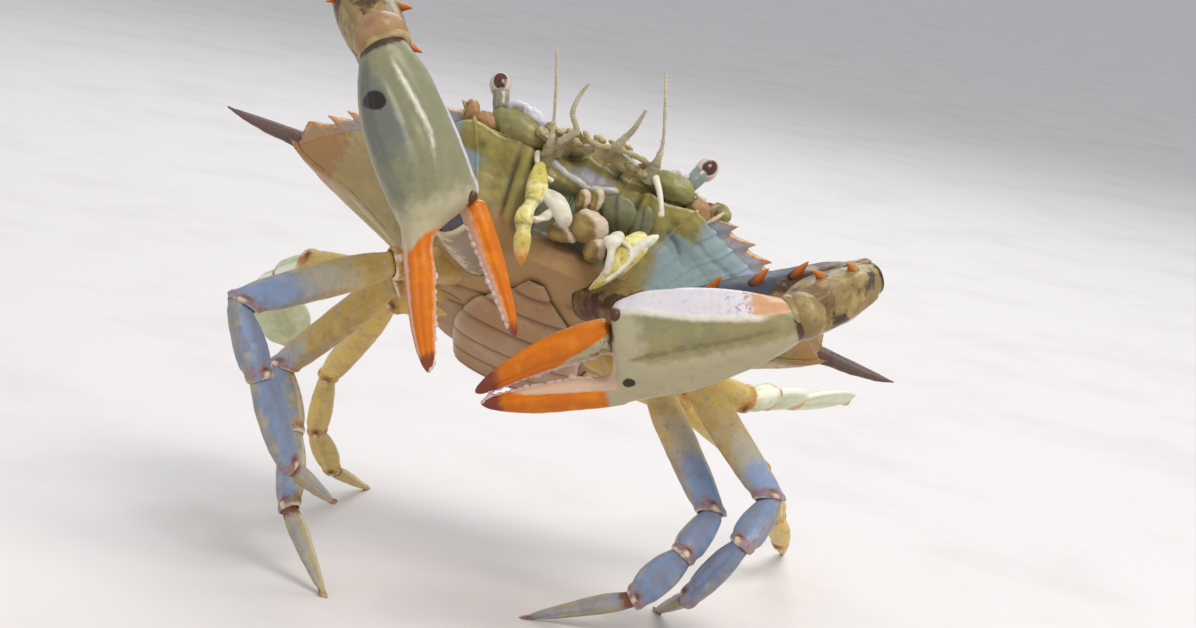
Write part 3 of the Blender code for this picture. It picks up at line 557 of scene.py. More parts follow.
def make(name, skins, paint, slot, node=None):
    """One visible piece from closed skins in the stand frame, standing for a node of the frame."""
    points, corners, sizes, shares = mesh_arrays(skins)
    mesh = bpy.data.meshes.new(name)
    mesh.vertices.add(len(points))
    mesh.vertices.foreach_set("co", ((points - STAND_CENTRE) * MM).astype(np.float32).ravel())
    mesh.loops.add(len(corners))
    mesh.loops.foreach_set("vertex_index", corners.astype(np.int32))
    mesh.polygons.add(len(sizes))
    mesh.polygons.foreach_set("loop_start", (np.cumsum(sizes) - sizes).astype(np.int32))
    mesh.update(calc_edges=True)
    for share, values in shares.items():
        mesh.attributes.new(share, "FLOAT", "POINT").data.foreach_set("value", values.astype(np.float32))
    mesh.shade_smooth()
    mesh.materials.append(paint[slot])
    thing = link(name, mesh)
    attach(thing, "root")
    if node:
        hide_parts(node)


# ---------------------------------------------------------------- materials

def tone(red, green, blue):
    """A colour from its display values, 0 to 255."""
    return tuple((value / 255.0) ** 2.2 for value in (red, green, blue)) + (1.0,)


class Paint:
    """One procedural material, built up from layers of colour.

    A layer has a colour and a strength. Its noise has a size in millimetres and an offset that sets it
    apart from the other layers' noise.
    """

    def __init__(self, name, base):
        self.material = bpy.data.materials.new(name)
        self.material.use_nodes = True
        self.tree = self.material.node_tree
        self.place = self.node("TexCoord", "Object")
        self.colour = self.node("RGB", 0)
        self.colour.default_value = tone(*base)

    def put(self, socket, value):
        """Feed a socket from another socket or set it."""
        if isinstance(value, bpy.types.NodeSocket):
            self.tree.links.new(value, socket)
        else:
            socket.default_value = value

    def node(self, kind, output, inputs=(), **settings):
        """One output of a new node; inputs gives (socket, value) pairs, settings the node's properties."""
        node = self.tree.nodes.new("ShaderNode" + kind)
        for name, value in settings.items():
            setattr(node, name, value)
        for socket, value in inputs:
            self.put(node.inputs[socket], value)
        return node.outputs[output]

    def share(self, name):
        """One of the mesh's paint shares."""
        return self.node("Attribute", "Fac", attribute_name=name)

    def math(self, operation, first, second):
        """A clamped sum or product of two values."""
        return self.node("Math", 0, ((0, first), (1, second)), operation=operation, use_clamp=True)

    def noise(self, size, offset=0.0, detail=4.0):
        """Noise with features of this many millimetres."""
        shift = (offset, offset * 0.7, -offset)
        moved = self.node("VectorMath", 0, ((0, self.place), (1, shift)), operation="ADD")
        return self.node("TexNoise", "Fac", (("Scale", 1.0 / (size * MM)), ("Detail", detail),
                                             ("Roughness", 0.6), ("Vector", moved)))

    def cells(self, size):
        """Distance to the middle of cells of this many millimetres."""
        return self.node("TexVoronoi", "Distance", (("Scale", 1.0 / (size * MM)), ("Vector", self.place)))

    def between(self, value, low, high):
        """The value spread so that low gives nought and high gives one."""
        return self.node("MapRange", "Result", (("Value", value), ("From Min", low), ("From Max", high)),
                         interpolation_type="SMOOTHSTEP")

    def layer(self, colour, strength, mask):
        """Lay a colour over what is there, where the mask is one."""
        factor = self.math("MULTIPLY", mask, strength)
        inputs = (0, factor), (6, self.colour), (7, tone(*colour))
        self.colour = self.node("Mix", 2, inputs, data_type="RGBA")
        return self

    def cloud(self, colour, strength, size, low, high, offset=0.0):
        """Lay a colour in patches, where the noise is above low, and in full where it is above high."""
        return self.layer(colour, strength, self.between(self.noise(size, offset), low, high))

    def plain(self, share, colour, strength):
        """Lay a colour where a share is."""
        return self.layer(colour, strength, self.share(share))

    def ramp(self, share, colour, strength, low, high):
        """Lay a colour where a share is above low, and in full where it is above high."""
        return self.layer(colour, strength, self.between(self.share(share), low, high))

    def speck(self, share, colour, strength, size, low, high, offset):
        """Lay a colour in patches, as cloud does, where a share is."""
        patches = self.between(self.noise(size, offset), low, high)
        return self.layer(colour, strength, self.math("MULTIPLY", self.share(share), patches))

    def edge(self, share, colour, strength=1.0, size=1.6, amount=0.5, offset=0.0, spread=0.55):
        """Lay a colour where a share is; spread softens its border and noise of this amount breaks it up."""
        wobble = self.between(self.noise(size, offset), 0.2, 0.8)
        summed = self.math("ADD", self.share(share), self.math("MULTIPLY", wobble, amount))
        middle = amount * 0.5 + 0.475
        mask = self.between(summed, middle - spread / 2.0, middle + spread / 2.0)
        return self.layer(colour, strength, mask)

    def finish(self, rough=(0.34, 0.5), relief=0.05, grain=0.8, coat=0.15):
        """Connect colour, roughness and fine relief, and return the material."""
        spread = self.node("MapRange", "Result", (("Value", self.noise(grain * 2.2, 0.3)),
                                                  ("To Min", rough[0]), ("To Max", rough[1])))
        pits = self.math("MULTIPLY", self.cells(grain), 0.6)
        height = self.math("ADD", self.noise(grain * 3.0, 0.0, 5.0), pits)
        inputs = ("Strength", 0.8), ("Distance", relief * MM), ("Height", height)
        normal = self.node("Bump", "Normal", inputs)
        shader = self.tree.nodes["Principled BSDF"]
        for name, value in (("Base Color", self.colour), ("Roughness", spread), ("Metallic", 0.0),
                            ("Specular IOR Level", 0.25), ("Coat Weight", coat), ("Coat Roughness", 0.2),
                            ("Normal", normal)):
            self.put(shader.inputs[name], value)
        return self.material


def leg_paint(name, ochre, blue, joint):
    """Leg shell: ochre towards the trunk, grey and then blue further out, with brown joints."""
    return (Paint(name, ochre)
            .cloud((214, 184, 108), 0.55, 5.0, 0.45, 0.7)
            .cloud((146, 108, 60), 0.4, 2.4, 0.54, 0.76, 2.0)
            .edge("yellow", (234, 198, 108), 0.85, 4.0, 0.6, 4.0, 0.9)
            .edge("grey", (176, 178, 172), 0.8, 3.6, 0.6, 9.0, 1.1)
            .edge("blue", blue, 0.95, 3.4, 0.6, 0.0, 1.0)
            .cloud((176, 188, 204), 0.3, 3.2, 0.55, 0.76, 5.0)
            .cloud((104, 92, 80), 0.35, 1.6, 0.58, 0.76, 8.0)
            .edge("rust", (152, 120, 88), 0.8, 1.3, 1.2, 3.0)
            .edge("shade", (104, 100, 96), 0.5, 3.0, 1.0, 5.0, 0.9)
            .edge("pale", (216, 202, 166), 0.8, 1.2, 0.6, 4.0)
            .edge("green", (60, 66, 38), 0.9, 0.9, 1.5, 3.0, 0.35)
            .edge("rim", (166, 98, 54), 0.85, 1.0, 0.7, 6.0, 0.8)
            # lip: cream joint rims and condyle knobs, partly a painted highlight.
            .edge("lip", (236, 216, 184), 0.85, 0.7, 0.5, 2.0)
            .edge("joint", joint, 0.95, 0.7, 0.4, 7.0)
            .plain("dark", (46, 30, 30), 0.85)
            .ramp("thorn", (196, 96, 36), 0.9, 0.3, 0.9)
            .finish())


def paddle_paint():
    """Swimming blades: pale green with white edges and an olive middle line."""
    return (Paint("paddle_shell", (206, 210, 170))
            .cloud((228, 230, 204), 0.7, 3.0, 0.42, 0.66)
            .cloud((170, 178, 120), 0.4, 2.0, 0.54, 0.74, 3.0)
            .edge("green", (156, 164, 104), 0.5, 1.6, 0.8, 2.0, 0.9)
            .edge("pale", (244, 240, 222), 0.95, 0.9, 0.3, 5.0)
            .edge("rim", (206, 150, 84), 0.7, 0.9, 0.5, 6.0)
            # lip: cream joint rims, partly a painted highlight.
            .plain("lip", (240, 230, 204), 0.7)
            .edge("joint", (128, 84, 52), 0.85, 0.7, 0.4, 7.0)
            .finish(relief=0.04))


def arm_paint():
    """Arm and wrist of the claws: olive with dark brown clouds, blue below and orange spines."""
    return (Paint("claw_arm_shell", (136, 114, 72))
            .cloud((172, 150, 98), 0.7, 3.6, 0.46, 0.64)
            .cloud((66, 44, 34), 0.9, 7.0, 0.5, 0.6, 4.0)
            .cloud((110, 62, 38), 0.5, 1.5, 0.6, 0.76, 6.0)
            .edge("blue", (64, 72, 88), 0.85, 3.0)
            .edge("pale", (214, 198, 164), 0.85, 1.2, 0.4)
            .edge("tan", (164, 122, 90), 0.85, 2.6, 0.7, 5.0, 0.8)
            .edge("rust", (84, 48, 36), 0.9, 2.4, 1.0, 2.0, 0.4)
            # lip: cream joint rims, partly a painted highlight.
            .plain("lip", (214, 196, 160), 0.7)
            .edge("joint", (52, 28, 24), 0.95, 0.8, 0.4, 7.0)
            .ramp("thorn", (204, 108, 44), 0.95, 0.25, 0.8)
            .finish(rough=(0.36, 0.52), relief=0.07, grain=0.9))


def claw_paint(name):
    """Palm and fingers: olive palm, painted highlights on top and keel, orange fingers, pale teeth."""
    return (Paint(name, (150, 138, 92))
            .cloud((124, 122, 90), 0.55, 7.0, 0.42, 0.62)
            .cloud((176, 160, 112), 0.4, 3.0, 0.52, 0.74, 2.0)
            .edge("olive", (128, 128, 102), 0.85, 4.0, 0.5, 3.0, 0.9)
            .edge("grey", (96, 100, 98), 0.85, 3.5, 0.5, 0.0, 0.9)
            .edge("pale", (184, 172, 140), 0.85, 2.2, 0.5, 3.0, 0.9)
            # band: painted highlight along the palm's upper face, as lit from above.
            .edge("band", (214, 206, 212), 0.9, 1.2, 0.4, 5.0)
            .speck("speck", (112, 78, 66), 0.8, 1.2, 0.5, 0.62, 9.0)
            .edge("blush", (206, 150, 108), 0.85, 1.6, 0.5, 8.0)
            .edge("groove", (116, 92, 52), 0.75, 1.6, 0.7, 2.0, 0.9)
            # keel: pale painted highlight along the palm's keel.
            .edge("keel", (226, 220, 204), 0.8, 1.6, 0.3, 6.0, 0.8)
            .edge("orange", (200, 104, 2), 1.0, 2.0, 0.35, 1.0)
            .speck("orange", (226, 134, 10), 0.6, 5.0, 0.45, 0.7, 6.0)
            .edge("inner", (214, 176, 150), 0.8, 1.0, 0.4, 2.0)
            .edge("tip", (104, 44, 42), 0.85, 1.2, 0.3)
            .plain("tooth", (214, 186, 182), 0.9)
            .edge("spot", (36, 28, 28), 0.95, 0.6, 0.4, 6.0)
            .edge("hinge", (74, 40, 28), 0.9, 0.8, 0.4, 6.0)
            .edge("joint", (62, 36, 30), 0.9, 0.8, 0.4, 7.0)
            .finish(rough=(0.3, 0.44), grain=1.0, coat=0.16))


def back_paint():
    """Carapace: olive-grey, blue near the spines, with orange tips and a pale underside."""
    return (Paint("back_shell", (98, 108, 76))
            .cloud((126, 132, 92), 0.7, 6.0, 0.45, 0.65)
            .cloud((70, 82, 66), 0.6, 2.6, 0.52, 0.7, 3.0)
            .cloud((168, 160, 118), 0.5, 1.2, 0.64, 0.74, 7.0)
            .edge("blue", (92, 116, 146), 0.7, 4.0)
            .plain("ridge", (150, 146, 112), 0.6)
            .plain("groove", (62, 70, 54), 0.5)
            .edge("under", (178, 156, 116), 0.95, 2.0, 0.3, 2.0)
            .edge("cheek", (164, 166, 182), 0.8, 2.0, 0.4, 3.0)
            .edge("rust", (166, 106, 66), 0.85, 1.8, 1.1, 8.0)
            .edge("orbit", (150, 104, 78), 0.9, 1.5, 0.3, 9.0)
            .edge("tan", (168, 116, 70), 0.8, 2.0, 0.5, 4.0)
            .plain("pale", (206, 172, 150), 0.8)
            .edge("spine", (96, 74, 72), 0.9, 3.0, 0.5, 5.0)
            .edge("cream", (226, 214, 180), 0.85, 0.9, 0.3, 6.0)
            .edge("tooth", (196, 172, 136), 0.9, 1.0, 0.4, 8.0)
            .speck("tooth", (196, 108, 54), 0.9, 1.8, 0.46, 0.62, 2.0)
            .finish(rough=(0.38, 0.56), relief=0.12, grain=0.9, coat=0.1))


def under_paint():
    """Underside of the trunk: olive cheeks turning blue, and a smooth pinkish breast."""
    return (Paint("under_shell", (146, 134, 80))
            .cloud((174, 160, 98), 0.6, 5.0, 0.45, 0.7)
            .cloud((112, 106, 64), 0.5, 2.6, 0.5, 0.7, 3.0)
            .edge("blue", (142, 168, 176), 0.85, 4.0)
            .edge("lavender", (158, 160, 190), 0.6, 2.6, 0.6, 8.0)
            .edge("flank", (196, 178, 140), 0.8, 3.0, 0.4, 5.0)
            .edge("tan", (172, 148, 104), 0.85, 3.0, 0.7, 5.0, 0.9)
            .edge("rust", (162, 102, 60), 0.8, 1.6, 0.9, 9.0)
            .edge("breast", (172, 134, 90), 0.95, 2.5, 0.4, 2.0)
            .speck("breast", (138, 98, 64), 0.6, 6.0, 0.5, 0.75, 4.0)
            .edge("yellow", (168, 154, 82), 0.8, 1.6, 0.4, 4.0)
            .edge("white", (206, 204, 206), 0.9, 1.0, 0.3, 5.0)
            .edge("mouth", (98, 104, 84), 0.9, 1.8, 0.4, 6.0)
            .edge("orbit", (150, 98, 68), 0.95, 1.2, 0.4, 7.0)
            .edge("cream", (228, 220, 170), 0.85, 0.8, 0.3, 1.0)
            .plain("pit", (56, 46, 38), 0.95)
            .plain("groove", (60, 56, 40), 0.8)
            .finish(rough=(0.32, 0.5), relief=0.06, grain=1.0, coat=0.2))


def apron_paint():
    """Tail: smooth pinkish tan with brown seams."""
    return (Paint("apron_shell", (164, 126, 90))
            .cloud((186, 152, 112), 0.5, 5.0, 0.45, 0.7)
            .cloud((130, 92, 64), 0.45, 2.4, 0.55, 0.75, 3.0)
            .plain("groove", (102, 74, 56), 0.8)
            .plain("pale", (214, 196, 166), 0.7)
            .finish(rough=(0.36, 0.5)))


def mouth_paint():
    """Mouth plates: bright yellow-green with white knobs and brown lobes."""
    return (Paint("mouth_plate_shell", (206, 190, 98))
            .cloud((240, 230, 168), 0.8, 2.4, 0.46, 0.64)
            .cloud((150, 122, 62), 0.65, 1.4, 0.52, 0.7, 3.0)
            .edge("white", (228, 222, 206), 0.9, 1.0, 0.3)
            .speck("white", (186, 172, 150), 0.6, 2.0, 0.46, 0.7, 9.0)
            .edge("brown", (138, 112, 70), 0.95, 1.0, 0.3, 2.0)
            .edge("olive", (172, 152, 90), 0.8, 1.2, 0.4, 5.0)
            # pink: the pink roll below the left eye, and the painted highlight on the jaws' upper edges.
            .edge("pink", (216, 198, 172), 0.85, 0.8, 0.3, 6.0)
            # bulge: the pink-tan orbital lobes, and painted shade over the moss lobes' tops.
            .edge("bulge", (166, 126, 86), 0.95, 1.0, 0.4, 3.0)
            .edge("moss", (136, 130, 84), 0.95, 1.2, 0.3, 7.0)
            .speck("moss", (178, 164, 118), 0.6, 2.6, 0.5, 0.7, 8.0)
            .edge("lavender", (206, 200, 216), 0.9, 0.8, 0.3, 7.0)
            .edge("rope", (170, 154, 114), 0.95, 0.8, 0.6, 4.0)
            .plain("mouth", (106, 112, 88), 0.9)
            .edge("orange", (206, 128, 52), 0.8, 1.0, 0.4, 4.0)
            .plain("groove", (70, 58, 40), 0.7)
            .finish(rough=(0.32, 0.48), grain=0.7))


def eye_paint():
    """Eyes: grey-green stalks, a cream ring and a dark brown cornea of fine facets."""
    paint = (Paint("eye_surface", (140, 130, 110))
             .cloud((186, 178, 158), 0.7, 1.4, 0.5, 0.7)
             .cloud((92, 84, 76), 0.5, 1.1, 0.56, 0.72, 3.0)
             .edge("teal", (122, 138, 134), 0.7, 1.2, 0.4, 2.0)
             .plain("groove", (70, 60, 50), 0.7)
             .plain("ring", (214, 190, 176), 0.95)
             .plain("cornea", (58, 34, 22), 1.0))
    facets = paint.between(paint.cells(0.28), 0.2, 0.6)
    paint.layer((94, 56, 34), 0.7, paint.math("MULTIPLY", paint.share("cornea"), facets))
    return paint.finish(rough=(0.12, 0.3), relief=0.03, grain=0.5, coat=0.6)


def feeler_paint():
    """Feelers: pale cream with olive joints."""
    return (Paint("feeler_surface", (196, 186, 154))
            .cloud((224, 216, 190), 0.6, 1.6, 0.45, 0.65)
            .plain("groove", (116, 104, 72), 0.8)
            .edge("green", (150, 146, 110), 0.7, 1.2, 0.4)
            .finish(rough=(0.36, 0.5), relief=0.03, grain=0.6))


def make_materials():
    """Every material of the crab by its slot."""
    return {
        "leg_upper": leg_paint("leg_upper_shell", (192, 158, 84), (120, 152, 198), (112, 66, 42)),
        "leg_lower": leg_paint("leg_lower_shell", (192, 174, 108), (106, 138, 188), (118, 70, 46)),
        "paddle": paddle_paint(),
        "claw_arm": arm_paint(),
        "claw_palm": claw_paint("claw_palm_shell"),
        "claw_finger": claw_paint("claw_finger_shell"),
        "back_shell": back_paint(),
        "under_shell": under_paint(),
        "apron": apron_paint(),
        "mouth_plate": mouth_paint(),
        "eye": eye_paint(),
        "feeler": feeler_paint(),
    }


# ---------------------------------------------------------------- limbs

def cut_along(cut, origins, axis):
    """How far along an axis a plane, given by a point and its normal, lies from each origin."""
    point, normal = cut
    return (point - origins) @ normal / (axis @ normal)


class Segment(Skin):
    """One limb segment: a rounded neck, the shaft, and a lip with a cup for the next one or a tip."""

    def __init__(self, part, sizes, start, end, hint, start_cut, end_cut, columns, rows, square):
        half_broad, half_thin = sizes
        self.sizes = sizes
        self.end = end
        self.axis = unit(end - start)
        self.length = np.linalg.norm(end - start)
        self.broad = square_to(hint, self.axis)
        self.thin = np.cross(self.axis, self.broad)
        self.last_row = NECK_ROWS + rows - 1
        t, shift, scale = self.profile(rows, half_thin, start_cut, end_cut)
        table = np.array(SHAPES[part])
        relative = smooth(table[:, 1:], table[:, 0], t[:, 0])
        offsets = rings(np.zeros((len(t), 3)), relative[:, :1] * half_broad * self.broad,
                        relative[:, 1:] * half_thin * self.thin, columns, square)
        overhang = OVERHANG * half_thin
        low, high = np.zeros(columns), np.full(columns, self.length)
        if start_cut:
            low = np.maximum(cut_along(start_cut, start + offsets[NECK_ROWS], self.axis), -overhang)
        if end_cut:
            high = np.minimum(cut_along(end_cut, start + offsets[self.last_row], self.axis),
                              self.length + overhang)
        travel = low + (high - low) * t - low * (1.0 - scale) * (t == 0.0) + shift
        super().__init__(start + self.axis * travel[..., None] + offsets * scale[..., None], along=t)
        self.t, self.scale = t, scale
        self.from_end = (1.0 - t) * self.length
        self.end_band = (np.arange(len(t)) > self.last_row)[:, None]

    def profile(self, rows, half_thin, start_cut, end_cut):
        """For each row its place along the shaft, its shift beyond that and its scale."""
        body = step_ends(np.linspace(0.0, 1.0, rows))
        neck = np.radians(np.linspace(8.0, 84.0, NECK_ROWS))
        neck_depth = NECK_DEPTH * half_thin if start_cut else 0.0
        if end_cut:
            lip = np.radians(np.linspace(15.0, 165.0, END_ROWS - 2))
            end_shift = np.append(LIP_BULGE * np.sin(lip), CUP_DIPS)
            end_scale = np.append(1.0 - LIP_DRAW * (1.0 - np.cos(lip)), CUP_SCALES)
        else:
            close = np.radians(np.linspace(5.0, 88.0, END_ROWS))
            end_shift, end_scale = TIP_LENGTH * half_thin * np.sin(close), np.cos(close)
        t = np.concatenate([np.zeros(NECK_ROWS), body, np.ones(END_ROWS)])
        shift = np.concatenate([-neck_depth * np.cos(neck), 0.0 * body, end_shift])
        scale = np.concatenate([np.sin(neck), np.ones(rows), end_scale])
        return t[:, None], shift[:, None], scale[:, None]

    def on_shaft(self, low, high):
        """One between two places along the shaft, fading just beyond them."""
        return plateau(self.t, low - 0.05, low + 0.05, high - 0.05, high + 0.05)

    def raise_lines(self, lines, low, high):
        """Raise or sink lines along the shaft, each given as (height, width, angles round)."""
        heights = sum(height * self.near(width, *angles) for height, width, angles in lines)
        return self.push(heights * self.on_shaft(low, high))

    def thorn(self, place, angle, length, radius, lean):
        """A spine on the surface, leaning towards the far end."""
        row = NECK_ROWS + np.argmin(np.abs(self.t[NECK_ROWS:self.last_row] - place))
        column = round(angle / 360.0 * self.points.shape[1])
        way = unit(self.normals()[row, column] + self.axis * lean)
        return thorn(self.points[row, column] - way * radius * 0.5, way, length + radius * 0.5, radius,
                     self.axis * lean * length * 0.4)


def flexed(spots):
    """For each segment the way its breadth goes, at right angles to the axis that the bends turn about."""
    ways = np.diff(spots, axis=0)
    turn = unit(np.cross(ways[1:-1], ways[2:]).sum(axis=0))
    return np.cross(turn, ways)


def limb(joints, sizes, hints, columns, rows, square=2.3, foot=None):
    """The segments of a limb by name. Where two meet, both end at the plane that halves their bend."""
    spots = np.array(joints, float)
    ways = unit(np.diff(spots, axis=0))
    cuts = [None, *zip(spots[1:], unit(ways[:-1] + ways[1:])), foot]
    starts = spots.copy()
    starts[0] -= ways[0] * ROOT_DEPTH
    places = zip(sizes.items(), starts, spots[1:], hints, cuts, cuts[1:])
    return {part: Segment(part, size, *place, columns, rows, square) for (part, size), *place in places}


def dress_joint(segment):
    """Rims, condyles and dark necks where segments meet; the cream on lips and condyles is partly painted
    highlight.
    """
    from_end = segment.from_end
    knobs = segment.near(22, *CONDYLES)
    rim = 0.14 * bump(from_end - 0.6, 0.5) - 0.14 * bump(from_end - 2.0, 0.7)
    segment.push(~segment.end_band * (0.5 * bump(from_end - 0.8, 1.0) * knobs + rim))
    neck = (segment.t < 0.5) * (1.0 - segment.scale) * 1.5 + 0.7 * bump(segment.t * segment.length, 0.7)
    inner_side = 0.2 + 0.6 * segment.near(60, 0)
    segment.tint(
        joint=neck + (segment.end_band & (segment.scale < 0.8)),
        # lip: a pale rim at the very end and cream on the condyle knobs, partly the joint's own pale colour
        # and partly a painted highlight.
        lip=(bump(from_end, 0.45) * inner_side
             + 0.95 * bump(from_end - 0.6, 0.7) * segment.near(10, *CONDYLES)),
        rim=bump(from_end - 1.0, 1.5) * (0.5 + 0.5 * knobs),
        dark=bump(from_end - 1.5, 0.45) * segment.near(13, *CONDYLES))


def leg_colours(label, part, segment):
    """Paint shares of a walking leg's segment: how grey and blue it is, and its pale edges."""
    grey, blue, outer_blue = LEG_TINTS[label]
    faces = 0.3 + 0.7 * segment.near(50, 90, 270)
    if part in UPPER_PARTS:
        place = segment.t * (part == "merus")
        segment.tint(
            grey=faces * step(place, grey - 0.3, grey + 0.2),
            blue=1.15 * faces * step(place, blue - 0.25, blue + 0.15),
            pale=0.6 * segment.near(12, 180) * segment.on_shaft(0.2, 0.8) * (label != "left_2"),
            shade=0.5 * segment.near(40, 20) * step(place, 0.2, 0.6),
            yellow=0.35 * segment.near(40, 180) if outer_blue else 1.0)
    else:
        middle = segment.near(16, 90, 270) + 0.8 * segment.near(14, 180)
        segment.tint(
            grey=0.55 * faces if outer_blue else 0.1,
            blue=outer_blue * (0.3 + 0.75 * faces) * (0.45 if part == "dactyl" else 1.0),
            shade=0.75 * outer_blue * segment.near(50, 180),
            pale=0.8 * segment.near(14, 0) * segment.on_shaft(0.1, 0.9),
            yellow=0.0 if outer_blue else 0.8,
            rust=0.75 if part == "dactyl" else 0.6 * middle * segment.on_shaft(0.1, 0.9))
    if part == "merus" and label in GREEN_PATCHES:
        strength, width, angle, low, high = GREEN_PATCHES[label]
        segment.tint(green=strength * segment.near(width, angle) * segment.on_shaft(low, high))


def walking_leg(label, joints, paint):
    """One walking leg, each segment its own piece."""
    spots = np.array(joints, float)
    foot = None if label in LIFTED_LEGS else (spots[-1], -UP)
    girth = LEG_GIRTH.get(label, 1.0)
    sizes = {part: (broad * girth, thin * girth) for part, (broad, thin) in WALKING_SIZES.items()}
    for part, segment in limb(spots, sizes, flexed(spots), columns=48, rows=46, foot=foot).items():
        segment.raise_lines(WALKING_LINES[part], 0.1, 0.86).roughen(0.07, 2.2, 5)
        dress_joint(segment)
        leg_colours(label, part, segment)
        if part == "dactyl":
            segment.tint(joint=bump(segment.t * segment.length, 2.4), lip=0.0)
        segment.points[..., 2] = np.maximum(segment.points[..., 2], 0.0)
        slot = "leg_upper" if part in UPPER_PARTS else "leg_lower"
        make(f"leg_{label}_{part}_shell", [segment], paint, slot, f"leg_{label}_{part}")


def swimming_leg(side, joints, paint):
    """One swimming leg with its flat oval blade."""
    hints = [PADDLE_BROAD[side]] * len(SWIMMING_SIZES)
    for part, segment in limb(joints, SWIMMING_SIZES, hints, columns=56, rows=50).items():
        segment.raise_lines(PADDLE_LINES if part == "paddle" else SWIMMING_LINES, 0.08, 0.88)
        dress_joint(segment)
        if part == "merus":
            patch = segment.near(24, 150) * segment.on_shaft(0.3, 0.9)
            segment.tint(pale=0.7 * segment.near(16, 180), yellow=1.0, green=patch * (side == "right"))
        else:
            segment.tint(pale=segment.near(20, 0, 180),
                         green=segment.near(14, 90, 270) * segment.on_shaft(0.1, 0.8))
        slot = "leg_upper" if part == "merus" else "paddle"
        make(f"leg_{side}_5_{part}_shell", [segment], paint, slot, f"leg_{side}_5_{part}")


# ---------------------------------------------------------------- claws

def knuckle(segment, next_way, back):
    """The rounded far end of a segment, that the next one grows out of."""
    half_broad, half_thin = (0.94 * half for half in segment.sizes)
    middle = segment.end - next_way * back - segment.axis * 1.2
    skin = ball(middle, (segment.axis * 4.4, segment.broad * half_broad, segment.thin * half_thin), 40, 60)
    skin.roughen(0.12, 3.0, 9)
    return skin.tint(joint=step((skin.points - segment.end) @ next_way, 0.6, 1.8))


def arm_pieces(side, segment, wrist_way):
    """Spines and knuckle of a claw's arm."""
    segment.tint(blue=0.9 * segment.on_shaft(0.0, 0.75))
    angle = CLAWS[side]["arm_spines"]
    spines = [segment.thorn(place, angle, length=3.2, radius=1.4, lean=0.8)
              for place in ARM_SPINES_ALONG]
    return [*spines, knuckle(segment, wrist_way, back=0.2)]


def wrist_pieces(side, segment, palm_way):
    """Spines and knuckle of a claw's wrist."""
    shaft = segment.on_shaft(0.1, 0.85)
    is_right = side == "right"
    cloudy = bump(segment.t - 0.78, 0.14) * segment.near(50, 215)
    segment.tint(
        pale=(bump(segment.from_end - 2.0, 1.6) * segment.near(70, 0)
              + 0.9 * segment.near(18, 112) * (not is_right)),
        tan=shaft * segment.near(60, 40) * is_right,
        rust=0.8 * shaft * segment.near(24, 92) if is_right else 1.1 * cloudy)
    spines = [segment.thorn(place, angle, length=2.6, radius=1.2, lean=0.7)
              for place, angle in CLAWS[side]["wrist_spines"]]
    knob = knuckle(segment, palm_way, back=1.6)
    knob.tint(tan=fall((knob.points - segment.end) @ palm_way, -1.6, 0.0) * is_right)
    return [*spines, knob]


def claw_arm(side, claw, paint):
    """Base, arm and wrist of a claw."""
    spots = np.array(claw["joints"], float)
    sizes = dict(CLAW_SIZES, wrist=claw["wrist"])
    segments = limb(spots, sizes, flexed(spots), columns=72, rows=60, square=2.2)
    palm_way = unit(spots[4] - spots[3])
    for part, segment in segments.items():
        segment.raise_lines(CLAW_LINES[part], 0.1, 0.85).roughen(0.12, 3.0, 9)
        dress_joint(segment)
        skins = [segment]
        if part == "base":
            segment.tint(pale=0.8 * (side == "right"),
                         rust=0.8 * segment.near(50, 0) + 0.5 * segment.near(30, 180))
        elif part == "arm":
            skins += arm_pieces(side, segment, segments["wrist"].axis)
        else:
            skins += wrist_pieces(side, segment, palm_way)
        make(f"cheliped_{side}_{part}_shell", skins, paint, "claw_arm", f"cheliped_{side}_{part}")


def finger_stations(wrist, axis, broad, outer, finger, sizes):
    """Centres and half axes of a curved finger in the palm's plane."""
    share, half_broad, half_thin = np.array(sizes).T[..., None]
    low, high = np.array(finger["root"]), np.array(finger["tip"])
    bend = (low + high) / 2.0 + (0.0, 2.0 * finger["bulge"])
    along, across = bezier(low, bend, high, share).T[..., None]
    way = unit((bend - low) * (1.0 - share) + (high - bend) * share)
    return (wrist + axis * along + broad * across,
            (broad * way[:, :1] - axis * way[:, 1:]) * half_broad * finger["girth"],
            outer * half_thin * finger["girth"])


def finger_teeth(skin, rows, column, count, size, seed):
    """A row of rounded teeth of uneven size, run together along a finger's inner edge."""
    teeth = []
    normals = skin.normals()
    for k in range(count):
        share = (k + 0.5) / count
        row = round(rows[0] + (rows[1] - rows[0]) * share)
        ahead = unit(skin.points[row + 2, column] - skin.points[row - 2, column])
        out = normals[row, column]
        uneven = 0.45 + 0.55 * abs(math.sin(1.9 * k + seed)) + 0.6 * (k % 6 == 2)
        reach = size * uneven * (1.0 - 0.4 * share)
        half_axes = (out * (reach + size * 0.35), ahead * size * 1.45, np.cross(ahead, out) * size * 1.1)
        tooth = ball(skin.points[row, column] - out * size * 0.45, half_axes, 16, 20, tooth=1.0)
        teeth.append(tooth.roughen(0.16, 0.8, 77))
    return teeth


